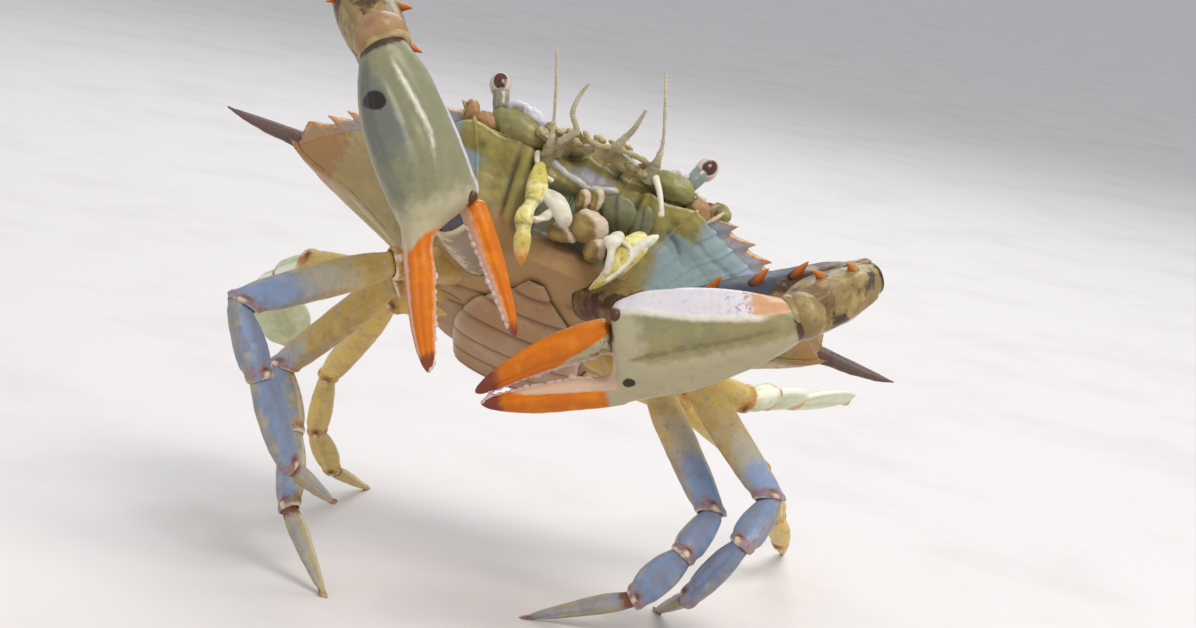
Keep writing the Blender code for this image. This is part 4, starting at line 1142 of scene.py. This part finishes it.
def hand(side, claw, paint):
    """The palm with its fixed finger, and the moving finger."""
    wrist, palm_end = np.array(claw["joints"][-2:], float)
    axis = unit(palm_end - wrist)
    broad = square_to(np.array(claw["across"]), axis)
    outer = -MIRROR[side] * np.cross(axis, broad)
    hand_frame = wrist, axis, broad, outer
    along, low, high, half = np.array(claw["palm"]).T[..., None]
    stations = wrist + axis * along + broad * (low + high) / 2.0, broad * (high - low) / 2.0, outer * half
    fixed = finger_stations(*hand_frame, claw["fixed"], FIXED_SIZES)
    moving = finger_stations(*hand_frame, claw["moving"], MOVING_SIZES)
    palm = loft(*map(np.concatenate, zip(stations, fixed)), rows=190, columns=110, square=2.2, blunt=0.03)
    finger = loft(*moving, rows=110, columns=80, square=2.1, blunt=0.05)
    for skin in (palm, finger):
        # How far along, across and out of the hand each point lies.
        skin.places = [(skin.points - wrist) @ way for way in (axis, broad, outer)]
    palm_relief(side, palm, claw)
    shaft = plateau(finger.shares["along"], 0.1, 0.2, 0.8, 0.95)
    finger.push(-0.25 * shaft * finger.near(12, 60, 120, 240, 300)).roughen(0.05, 2.5, 23)
    palm_colours(side, palm, claw)
    finger_colours(side, palm, finger)
    size = 0.75 * claw["fixed"]["girth"]
    teeth = finger_teeth(palm, rows=(128, 182), column=0, count=17, size=size, seed=1.0)
    knob = wrist + axis * claw["hinge"][0] + broad * claw["hinge"][1] + outer * 3.4
    hinge = ball(knob, (axis * 1.2, broad * 1.3, outer * 1.6), 14, 20, hinge=1.0)
    make(f"cheliped_{side}_hand_shell", [palm, *teeth, hinge], paint, "claw_palm", f"cheliped_{side}_hand")
    size = 0.72 * claw["moving"]["girth"]
    teeth = finger_teeth(finger, rows=(20, 96), column=40, count=15, size=size, seed=2.0)
    make(f"cheliped_{side}_finger_shell", [finger, *teeth], paint, "claw_finger", f"cheliped_{side}_finger")


def line_across(line, along):
    """How far across the hand a line lies at each place along it."""
    return np.interp(along, *zip(*line))


def palm_relief(side, palm, claw):
    """Keels, furrow and fine unevenness of the palm and fixed finger, and a painted highlight on the keel."""
    along, across, out = palm.places
    on_palm = plateau(along, 1.0, 6.0, 28.0, 33.0)
    on_finger = plateau(along, 33.0, 38.0, 54.0, 59.0)
    outer = step(out, 0.5, 2.5)
    from_keel, from_furrow = (across - line_across(claw[line], along) for line in ("keel", "furrow"))
    edges = palm.near(8, 12) + palm.near(9, 150) + 0.8 * palm.near(8, 315) + 0.6 * palm.near(8, 250)
    lines = outer * (0.5 * bump(from_keel, 0.9) - 0.35 * bump(from_furrow, 0.9))
    palm.push(on_palm * (lines + 0.4 * edges))
    palm.push(-0.3 * on_finger * palm.near(12, 60, 120, 300))
    palm.push(0.08 * cloud(palm.points, 4.0, 21) + 0.03 * cloud(palm.points, 1.2, 22))
    # A painted highlight along the keel, on the right claw fading out towards the fingers.
    faded = 0.7 * fall(along, 15.0, 27.0) if side == "right" else 0.85
    thin_line = bump(from_furrow + 0.3 * cloud(palm.points, 3.0, 24), 0.45)
    palm.tint(keel=on_palm * bump(from_keel, 0.7) * outer * faded,
              groove=0.9 * (side == "left") * on_palm * thin_line * outer)


def palm_colours(side, palm, claw):
    """Paint shares of the palm: its faces, a painted highlight on top, joint and dark spot."""
    along, across, out = palm.places
    outer = step(out, -1.0, 1.0)
    on_palm = fall(along, 30.0, 33.0)
    below_keel = line_across(claw["keel"], along) - across
    spot_along, spot_across, spot_size = claw["spot"]
    away = np.hypot(0.85 * (along - spot_along), 1.2 * (across - spot_across))
    # Where the dark joint ring at the palm's start ends; on the right claw it reaches further, as painted
    # shadow under the wrist's rim.
    joint_and_shadow_end = 1.0 if side == "right" else -0.4
    palm.tint(spot=fall(away, spot_size * 0.7, spot_size * 1.2) * outer,
              joint=(fall(along, joint_and_shadow_end - 1.8, joint_and_shadow_end)
                     + 0.8 * bump(along - 32.4, 0.5) * step(across, 1.0, 4.0)))
    if side == "right":
        upper = step(across, 4.6, 5.8) * on_palm
        lower = step(below_keel, 1.5, 6.0) * outer * on_palm
        # band: painted highlight along the right palm's upper edge, as lit from above.
        palm.tint(olive=on_palm, grey=lower * (1.0 - 0.6 * step(along, 12.0, 24.0)),
                  band=upper * step(along, 6.0, 12.0), speck=0.5 * upper * step(along, 20.0, 26.0),
                  pale=0.9 * step(along, 26.0, 33.0))
    else:
        above = step(-below_keel, 0.0, 0.7)
        # band: painted highlight on the left palm's face above the keel, as lit from above; brown specks lie
        # over its near end.
        band = above * step(out, -3.5, -1.0) * on_palm
        low = step(line_across(claw["furrow"], along) - across, 0.3, 3.0)
        palm.tint(olive=0.35 * (1.0 - low), blush=above * fall(along, 3.0, 9.0),
                  band=band * step(along, 3.0, 8.0), speck=band * (1.0 - 0.9 * step(along, 5.0, 13.0)),
                  pale=(0.8 * low + 0.9 * step(along, 24.0, 30.0)) * (below_keel > 0.0))


def finger_colours(side, palm, finger):
    """Orange fingers with pale inner edges and dark tips."""
    along, across, _ = palm.places
    reach, height, _ = finger.places
    tips = step(along, 54.0, 58.0)
    if side == "right":
        edges = palm.near(36, 16) + 0.8 * palm.near(14, 172)
        palm.tint(orange=step(along - 2.2 * palm.near(40, 150), 33.5, 36.5),
                  inner=step(along, 33.0, 36.0) * edges * (1.0 - tips))
        finger.tint(orange=step(reach, 31.0, 32.5),
                    inner=finger.near(34, 168) + 0.7 * finger.near(14, 20) * fall(reach, 36.0, 46.0))
    else:
        low = step(-across - 5.4 + 0.12 * (along - 36.0), 0.0, 1.2)
        palm.tint(orange=step(along, 34.0, 38.0) * np.maximum(low, step(along, 48.0, 54.0)),
                  inner=plateau(along, 32.0, 35.0, 50.0, 56.0) * (1.0 - low))
        above = step(height - 4.4 + 0.42 * (reach - 33.0), -0.8, 0.8)
        finger.tint(orange=above, pale=1.0 - above, speck=(1.0 - above) * fall(reach, 38.0, 44.0),
                    inner=0.9 * finger.near(30, 180) + 0.6 * finger.near(12, 0) * (reach < 46.0))
    palm.tint(tip=tips)
    finger.tint(tip=step(reach, 53.0, 58.5))


# ---------------------------------------------------------------- shell and trunk

def tooth_edge(low, high):
    """The margin from one tooth's tip to just before the next: hollow sides and a valley between."""
    middle = SHELL_CENTRE[:2]
    valley = low + (high - low) * TOOTH_VALLEY
    valley += unit(middle - valley) * TOOTH_HEIGHT
    first = low + (valley - low) * 0.45 + unit(middle - low) * TOOTH_HOLLOW
    last = valley + (high - valley) * 0.6 + unit(middle - high) * TOOTH_HOLLOW
    return [(*low, TOOTH_INSET), (*first, HOLLOW_INSET), (*valley, NOTCH_INSET), (*last, HOLLOW_INSET)]


def margin_half():
    """Edge of the carapace from the front to the rear, left half: (x, y, inset of the rim)."""
    edge = [(0.0, -28.6, NOTCH_INSET), (2.6, -29.2, HOLLOW_INSET), (4.5, -31.5, TOOTH_INSET),
            (5.8, -29.2, HOLLOW_INSET), (7.6, -28.0, NOTCH_INSET), (9.6, -28.4, HOLLOW_INSET),
            (11.0, -30.0, TOOTH_INSET), (12.0, -28.2, HOLLOW_INSET), (14.0, -26.4, NOTCH_INSET),
            (19.0, -23.8, NOTCH_INSET), (24.0, -24.8, NOTCH_INSET), (26.2, -26.2, HOLLOW_INSET)]
    shares = np.arange(SIDE_TEETH + 1)[:, None] / SIDE_TEETH
    tips = bezier(ORBIT_CORNER, MARGIN_BEND, LAST_TOOTH, shares)
    for low, high in zip(tips, tips[1:]):
        edge += tooth_edge(low, high)
    edge += [(*LAST_TOOTH, TOOTH_INSET), (*SPINE_NOTCH, NOTCH_INSET), (*SPINE_TIP, SPINE_INSET)]
    return edge + [(x, y, REAR_INSET) for x, y in REAR_MARGIN]


def whole_margin(columns):
    """The outer edge and the inner rim all round, with this many points each."""
    half = margin_half()
    loop = np.array(half + [(-x, y, inset) for x, y, inset in half[-2:0:-1]] + half[:1])
    edge = loop * (1.0, 1.0, 0.0)
    spoke = edge - SHELL_CENTRE
    rim = SHELL_CENTRE + spoke * (1.0 - loop[:, 2:] / np.linalg.norm(spoke, axis=1, keepdims=True))
    places = lengths(edge)
    wanted = np.linspace(0.0, places[-1], columns, endpoint=False)
    outer = np.stack([np.interp(wanted, places, values) for values in edge.T], axis=1)
    return outer, smooth(rim, places, wanted)


def brow(points):
    """How far the front of the shell is arched up over the eyes."""
    x, y = points[:, :1], points[:, 1:2]
    return BROW_HEIGHT * np.maximum(0.0, 1.0 - (x / BROW_HALF_WIDTH) ** 2) * np.clip(-y / 20.0, 0.0, 1.0)


def carapace(paint):
    """The back shell with teeth, spines, ridges, grooves and granules."""
    outer, rim = whole_margin(SHELL_COLUMNS)
    even = np.mean([np.roll(rim, shift, axis=0) for shift in range(-45, 46)], axis=0)
    arch = brow(rim)
    rows = [SHELL_CENTRE + (rim - SHELL_CENTRE) * share + UP * (arch * share ** 2 - SHELL_LIP)
            for share in np.linspace(0.02, 1.0, BELOW_ROWS)]
    for share in np.linspace(0.12, 1.0, OUT_ROWS):
        ring = rim + (outer - rim) * share
        rows.append(ring + UP * (brow(ring) - SHELL_LIP * (1.0 - share) ** 1.4))
    for share in np.linspace(0.9, 0.0, IN_ROWS):
        ring = rim + (outer - rim) * share
        rows.append(ring + UP * (brow(ring) + SHELL_RIM * (1.0 - share) ** 0.8))
    for share in np.linspace(0.98, 0.01, DOME_ROWS):
        ring = SHELL_CENTRE + (even + (rim - even) * share ** 12 - SHELL_CENTRE) * share
        rise = SHELL_RIM + (SHELL_HEIGHT - SHELL_RIM) * (1.0 - share ** 2.3)
        rows.append(ring + UP * (rise + arch * share))
    skin = Skin(rows)
    back_relief(skin)
    skins = [skin, *map(side_spine, MIRROR.values())]
    make("carapace_shell", [one.to_stand() for one in skins], paint, "back_shell", "carapace")


def side_spine(sign):
    """The long spine at the side, round and slightly curved, drawn out to a sharp tip."""
    path = np.array(SIDE_SPINE) * (sign, 1.0, 1.0, 1.0, 1.0)
    spine = tube(path, (0, 1, 0), rows=90, columns=36, blunt=0.02).roughen(0.12, 2.0, 45)
    along = spine.shares["along"]
    below = step(0.6 - spine.points[..., 2], 0.2, 1.2)
    return spine.tint(spine=step(along, 0.36, 0.5), tan=fall(along, 0.4, 0.6),
                      pale=step(along, 0.94, 0.99) + 0.6 * below * step(along, 0.5, 0.6))


def back_relief(skin):
    """Ridges, grooves, granules and paint shares of the back shell."""
    row = np.arange(len(skin.points))[:, None] - EDGE_ROW
    x, y = np.abs(skin.points[..., 0]), skin.points[..., 1].copy()
    flat = np.stack([x, y], axis=-1)
    top = row > 2
    ridge, groove = (sum(bump(distance_to_path(flat, path), width) for path in paths) * top
                     for paths, width in ((BACK_RIDGES, 0.9), (BACK_GROOVES, 1.1)))
    dome = step(row, 6, 16)
    skin.push(dome * (0.5 * ridge - 0.4 * groove + 0.25 * cloud(skin.points, 9.0, 31)))
    granules = 0.22 * np.maximum(0.0, noise(skin.points, 0.9, 35) - 0.2) + 0.1 * noise(skin.points, 1.8, 37)
    skin.push(granules * dome + 0.05 * cloud(skin.points, 2.0, 41))
    margin = bump(row, 3.0)
    below = (row < 0) * (y < 2.0)
    side = step(x, 60.0, 66.0)
    skin.tint(ridge=ridge, groove=groove, blue=step(x, 34.0, 60.0) * top, under=row < -1,
              tan=plateau(x, 48.0, 60.0, 60.0, 68.0) * top,
              rust=below * step(x, 40.0, 56.0) * step(-y, -3.0, 2.0),
              cheek=below * plateau(x, 24.0, 30.0, 44.0, 56.0), orbit=below * box_bump(x - 20.0, 6.0),
              spine=side, pale=step(x, 73.0, 75.0), cream=margin * (y > 3.0) * (1.0 - side),
              tooth=1.2 * margin * (y < -3.2) * (x > 25.0))


def breast_edge(rim):
    """The points of the breast plate's edge that lie below points of the shell's rim."""
    way = unit(rim[:, :2] - (0.0, BREAST_MIDDLE))
    reach = (np.abs(way / (BREAST_HALF_WIDTH, BREAST_HALF_LENGTH)) ** BREAST_SQUARENESS).sum(axis=1)
    x, y = (way / reach[:, None] ** (1.0 / BREAST_SQUARENESS) + (0.0, BREAST_MIDDLE)).T
    return np.stack([x, y, BREAST_Z + BREAST_REAR_SLOPE * np.maximum(0.0, y)], axis=1)


def trunk(paint):
    """The underside of the trunk, from the shell's edge down to the breast plate."""
    _, rim = whole_margin(TRUNK_COLUMNS)
    centre = SHELL_CENTRE + UP * TRUNK_TOP
    upper = centre + (rim - SHELL_CENTRE) * TRUNK_INSET
    lower = breast_edge(upper)
    edge = rim + UP * (brow(rim) - EDGE_GAP)
    front = np.maximum(0.0, -upper[:, 1] / TRUNK_FRONT)

    def wall(share):
        """A ring of the trunk's wall."""
        ring = upper + (lower - upper) * share
        ring[:, 2] = TRUNK_TOP + (lower[:, 2] - TRUNK_TOP) * share ** FLANK_HOLLOW
        ring[:, 1] -= TRUNK_BULGE * front * math.sin(math.pi * share)
        return ring

    floor = np.array((0.0, BREAST_MIDDLE, BREAST_Z))
    bend, below_bend = edge - UP * BEND_DEPTH, wall(BEND_SHARE)
    skin = Skin([centre + (edge - centre) * share for share in np.linspace(0.05, 0.98, ROOF_ROWS)]
                + [bezier(edge, bend, below_bend, share) for share in np.linspace(0.0, 0.97, BEND_ROWS)]
                + [wall(share) for share in np.linspace(BEND_SHARE, 1.0, WALL_ROWS)]
                + [floor + (lower - floor) * share for share in np.linspace(0.97, 0.02, BREAST_ROWS)])
    trunk_relief(skin)
    make("thorax_shell", [skin.to_stand()], paint, "under_shell", "thorax")


def trunk_relief(skin):
    """Orbits, cheeks, mouth frame, grooves and breast seams, with their paint shares."""
    points = skin.points.copy()
    x, y, z = np.moveaxis(points, -1, 0)
    side, face = np.abs(x), np.abs(x - FACE_MIDDLE)
    half = np.stack([side, y, z], axis=-1)
    half_face = np.stack([face, y, z], axis=-1)
    row = np.arange(len(points))[:, None]
    wall = step(row, ROOF_ROWS - 1, ROOF_ROWS + 3)
    front = step(-y, 8.0, 16.0) * wall
    breast = step(-z, 16.5, 19.0) * step(y, -13.5, -10.0)
    bare = 1.0 - breast

    orbit = box_bump(side - 20.5, 6.0) * fall(-z, 0.4, 1.6) * front
    below_orbit = box_bump(side - 20.0, 7.6) * front
    sill = below_orbit * bump(z + 2.2, 0.6)
    pillow = below_orbit * plateau(-z, 1.0, 2.4, 5.0, 6.4)
    skin.points[..., 1] -= 3.6 * below_orbit * plateau(-z, 0.8, 2.2, 3.0, 8.0) - 1.2 * orbit
    pits = bump(face - 5.1, 1.7) * bump(z - 0.4, 1.3) * front

    def face_line(path, width, shift=0.0):
        """One along a line of the face, falling away over the width."""
        return bump(distance_to_path(half_face + (shift, 0.0, 0.0), path), width) * front

    bridge = face_line(EPISTOME_EDGE, 0.75)
    strip = face_line(MOUTH_STRIP, 1.05)
    strip_lines = face_line(MOUTH_STRIP, 0.55, -2.0) + face_line(MOUTH_STRIP, 0.65, 2.0)
    under = bump(distance_to_path(half, UNDER_ORBIT), 0.6) * front
    line = bump(distance_to_path(half, CHEEK_LINE), 0.4) * front * (x > 0.0)
    mouth = fall(face, 9.2, 11.4) * plateau(-z, 5.6, 7.4, 15.0, 17.5) * front
    cheek = front * step(face, 14.0, 16.0) * step(-z, 4.0, 6.0) * bare
    seams = sum(bump(y - at - 0.12 * (side - 8.0), 0.4) * (side < reach) for at, reach in BREAST_SEAMS)
    seams = seams * breast * step(side, 6.0, 8.0)
    skin.push(0.4 * sill - 2.2 * pits + 0.9 * bridge + 0.8 * strip - 0.7 * strip_lines - 0.45 * under
              - 0.3 * line - 2.4 * mouth + 0.35 * cheek - 0.5 * seams + 0.12 * cloud(points, 4.0, 51))
    skin.push(0.05 * cloud(points, 1.4, 53))

    chin = fall(face, 13.0, 17.0) * step(-z, 11.5, 14.0) * front
    skin.tint(
        breast=breast + (row >= ROOF_ROWS + BEND_ROWS + WALL_ROWS) + chin,
        tan=wall * step(-x, 26.0, 42.0) * bare,
        blue=front * (0.95 * step(side, 13.0, 29.0) + 0.35 * bump(side - 24.0, 4.0)) * bare * (1.0 - pillow),
        lavender=front * (bump(side - 43.0, 7.0) + bump(face, 4.5) * bump(z + 2.6, 1.6)),
        rust=wall * (step(side, 44.0, 56.0) * bump(z + 1.5, 3.0) + 1.1 * step(-x, 44.0, 58.0)),
        yellow=0.45 * pillow + 0.9 * strip + 0.5 * bump(face - 10.0, 2.0) * bump(z + 1.2, 1.6) * front,
        cream=0.45 * sill + 0.5 * bump(z - 0.6, 0.5) * (side < 12.0) * front,
        white=bridge, mouth=mouth, orbit=1.3 * orbit, pit=1.2 * pits,
        groove=0.6 * seams + 0.9 * strip_lines + 0.4 * under + 0.7 * line,
        flank=step(y, -2.0, 6.0) * bare * wall)


def apron(paint):
    """The broad tail folded under the trunk, with a seam between its segments."""
    table = np.array(APRON)
    places = lengths(table[:, :2])
    wanted = np.linspace(0.0, places[-1], 120)
    y, z, half_broad, half_thin = smooth(table, places, wanted).T
    way_y, way_z = unit(np.gradient(np.stack([y, z], axis=1), axis=0)).T
    level = np.zeros_like(y)
    middle, outward = (np.stack(parts, axis=1)[:, None]
                       for parts in ((level, y, z), (level, -way_z, way_y)))
    angle = np.linspace(0.0, math.pi, 56)
    inner = np.linspace(-1.0, 1.0, 24)[1:-1]
    across = np.concatenate([np.cos(angle), inner])[:, None]
    rise = np.concatenate([np.sin(angle), 0.0 * inner])
    skin = Skin(middle + half_broad[:, None, None] * across * (1.0, 0.0, 0.0)
                + half_thin[:, None, None] * rise[:, None] ** 0.8 * outward)
    seams = sum(bump(wanted - place - 1.5, 0.45) for place in places[1:-1])[:, None]
    seams = seams * (np.arange(len(rise)) < len(angle))
    skin.push(-0.45 * seams).tint(groove=seams, pale=0.8 * bump(rise, 0.35))
    make("abdomen_shell", [skin.to_stand()], paint, "apron", "abdomen")


# ---------------------------------------------------------------- small parts of the front

def eyes(paint):
    """Stalked eyes: a pale oval knob that carries a dark cornea on its front."""
    for side, sign in MIRROR.items():
        spots = from_body(EYE[:, :3] * (sign, 1.0, 1.0))
        stalk = tube(np.column_stack([spots, EYE[:, 3]]), (0, 1, 0), rows=60, columns=40, blunt=0.1)
        along = stalk.shares["along"]
        stalk.push(0.1 * cloud(stalk.points, 1.6, 71) - 0.2 * bump(along - 0.55, 0.06))
        stalk.tint(groove=0.8 * bump(along - 0.56, 0.03), teal=step(along, 0.3, 0.6) * (side == "left"))
        way = unit(spots[-1] - spots[-3])
        broad = unit(np.cross(way, EYE_LOOK))
        middle = spots[-1] + way * 0.5
        high, wide, deep = EYE_KNOB
        knob = ball(middle, (way * high, broad * wide, np.cross(broad, way) * deep), 64, 72)
        away = knob.points - middle
        flat = np.hypot(away @ broad / 1.35, (away @ way - 0.1) / 1.75)
        ahead = step(away @ EYE_LOOK, 0.2, 0.6)
        knob.tint(cornea=fall(flat, 0.92, 1.08) * ahead, ring=plateau(flat, 0.95, 1.1, 1.7, 2.1) * ahead)
        knob.push(ahead * (0.18 * bump(flat - 1.15, 0.2) + 0.08 * fall(flat, 0.0, 1.0)))
        make(f"eye_{side}_surface", [stalk, knob], paint, "eye", f"eye_{side}")


def feelers(paint):
    """Slender feelers with ringed joints."""
    for name, path in FEELERS.items():
        skin = tube(path, (1, 0.2, 0), rows=150, columns=20, blunt=0.02)
        along = skin.shares["along"]
        beads = np.sin(along * 190.0) * step(along, 0.4, 0.5)
        knees = sum(bump(along - place, 0.014) for place in (0.16, 0.3, 0.42))
        skin.push(0.02 * beads + 0.16 * knees)
        skin.tint(groove=0.35 * step(-beads, 0.4, 1.0) + 0.8 * bump(along - 0.19, 0.01),
                  green=fall(along, 0.12, 0.3))
        make(f"{name}_surface", [skin], paint, "feeler", name)


def mouth_legs(paint):
    """The outer mouth legs: jointed plates and rods, white-edged, some of them pale all over."""
    for side, rods in MOUTH_LEGS.items():
        skins = [tube(rod, MOUTH_BROAD, rows=90, columns=40, square=2.3, blunt=0.04) for rod in rods]
        for place, skin in enumerate(skins):
            along = skin.shares["along"]
            edges = skin.near(22, 0, 180)
            skin.push(0.08 * cloud(skin.points, 1.5, 81) + 0.1 * edges)
            skin.tint(white=0.85 if place in PALE_MOUTH_RODS else 0.8 * edges * step(along, 0.3, 0.4))
            if side == "right" and place == 0:
                skin.tint(groove=0.8 * (bump(along - 0.43, 0.02) + bump(along - 0.66, 0.02)),
                          orange=0.7 * step(along, 0.75, 0.95))
        make(f"maxilliped_{side}_plate", skins, paint, "mouth_plate", f"maxilliped_{side}")


def mouth_inside(paint):
    """Jaws and lobes in the mouth's opening, and the rods beside it."""
    skins = []
    up = unit(np.cross(BODY_ACROSS, (0.0, 1.0, 0.25)))
    through = np.cross(BODY_ACROSS, up)
    for centre, (wide, high, deep), colour in MOUTH_LOBES:
        lobe = ball(centre, (up * high, BODY_ACROSS * wide, through * deep), 40, 48).roughen(0.3, 3.0, 61)
        rise = (lobe.points - centre) @ up / high
        aside = (lobe.points - centre) @ BODY_ACROSS / wide
        lobe.tint(**{colour: 1.0})
        if colour == "brown":
            # On each brown jaw a pale pink crescent over its upper edge is a painted highlight, raised a
            # little, with olive in its middle.
            rim = step(np.hypot(rise - 0.1, aside + 0.25), 0.45, 1.05) * step(rise + 0.6 * aside, -0.3, 0.6)
            lobe.push(0.25 * rim + 0.15 * cloud(lobe.points, 1.0, 66))
            lobe.tint(pink=rim, olive=bump(rise, 0.5) * bump(aside + 0.3, 0.4))
        lobe.tint(groove=bump(aside + 0.4 * rise, 0.1) * (colour == "mouth"))
        skins.append(lobe)
    skins += [tube(rod, (1, 0, 0), rows=50, columns=20).tint(white=0.8) for rod in FACE_RODS]
    make("mouth_inside", skins, paint, "mouth_plate")


def orbit_parts(paint):
    """Lobes and rolls round the eyes and pale knobs along the brow."""
    skins = []
    back = np.array((0.0, 1.0, 0.0))
    for centre, (wide, high, deep), colour in ORBIT_LOBES:
        lobe = ball(centre, (UP * high, BODY_ACROSS * wide, back * deep), 30, 40)
        lobe.push(0.12 * min(wide, high) * cloud(lobe.points, 3.0, 62) + 0.2 * cloud(lobe.points, 1.1, 65))
        lobe.tint(**{colour: 1.0})
        # The top of each moss lobe takes the bulge colour as painted shade under the lavender rolls.
        if colour == "moss":
            lobe.tint(bulge=0.7 * step((lobe.points[..., 2] - centre[2]) / high, 0.35, 0.9))
        skins.append(lobe)
    for places, radius, colour in ORBIT_ROLLS:
        roll = tube([(*place, radius) for place in places], (0, 1, 0), rows=60, columns=24, blunt=0.1)
        skins.append(roll.roughen(0.35 * radius, 1.2, 63).tint(**{colour: 0.9}))
    for x, y, z, size in BROW_KNOBS:
        knob = ball((x, y, z), (UP * size * 0.8, BODY_ACROSS * size * 1.2, back * size), 24, 30)
        skins.append(knob.roughen(0.3 * size, 0.9, 64).tint(rope=1.0))
    make("orbit_lobes", skins, paint, "mouth_plate")


# ---------------------------------------------------------------- studio

def row_point(point):
    """A point of the stand frame in metres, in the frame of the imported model."""
    return Vector((np.array(point) - STAND_CENTRE) * MM)


def camera():
    """The camera, at the angle from which the crab was seen."""
    data = bpy.data.cameras.new("camera")
    data.lens = LENS
    data.sensor_width = 36.0
    data.clip_start = 0.01
    data.clip_end = 200.0
    rise, roll = math.radians(VIEW_ELEVATION), math.radians(VIEW_ROLL)
    back = Vector((0.0, -math.cos(rise), math.sin(rise)))
    right = Vector((1.0, 0.0, 0.0))
    up = back.cross(right)
    turned_right = right * math.cos(roll) + up * math.sin(roll)
    turned_up = up * math.cos(roll) - right * math.sin(roll)
    place = Matrix.Translation(row_point(VIEW_TARGET) + back * VIEW_DISTANCE * MM)
    thing = link("camera", data)
    thing.matrix_world = place @ Matrix((turned_right, turned_up, back)).transposed().to_4x4()
    bpy.context.scene.camera = thing


def soft_light(name, place, size, power, colour):
    """A large square light, pointed at the crab's body."""
    data = bpy.data.lights.new(name, "AREA")
    data.shape = "SQUARE"
    data.size = size
    data.energy = power
    data.color = colour
    thing = link(name, data)
    thing.location = place
    thing.rotation_mode = "QUATERNION"
    thing.rotation_quaternion = (row_point(BODY_PLACE) - Vector(place)).to_track_quat("-Z", "Y")


def studio():
    """A plain pale floor, soft light and a pale surround."""
    scene = bpy.context.scene
    world = bpy.data.worlds.new("surround")
    world.use_nodes = True
    surround = world.node_tree.nodes["Background"].inputs
    surround["Color"].default_value = SURROUND
    surround["Strength"].default_value = SURROUND_STRENGTH
    scene.world = world
    scene.view_settings.view_transform = "Standard"
    for name, settings in LIGHTS.items():
        soft_light(name, *settings)
    mesh = bpy.data.meshes.new("floor")
    corners = [(x * FLOOR_HALF, y * FLOOR_HALF, 0.0) for x, y in ((-1, -1), (1, -1), (1, 1), (-1, 1))]
    mesh.from_pydata(corners, [], [(0, 1, 2, 3)])
    floor = link("floor", mesh)
    paint = Paint("floor_surface", (226, 219, 216)).cloud((214, 206, 202), 0.5, 60.0, 0.45, 0.7)
    mesh.materials.append(paint.finish(rough=(0.7, 0.85), relief=0.02, grain=2.0, coat=0.0))


# ---------------------------------------------------------------- the whole crab

def build():
    """Make every piece."""
    paint = make_materials()
    camera()
    studio()
    for part in (carapace, trunk, apron, eyes, feelers, mouth_legs, mouth_inside, orbit_parts):
        part(paint)
    for side, claw in CLAWS.items():
        claw_arm(side, claw, paint)
        hand(side, claw, paint)
    for label, joints in WALKING_LEGS.items():
        walking_leg(label, joints, paint)
    for side, joints in SWIMMING_LEGS.items():
        swimming_leg(side, joints, paint)


build()
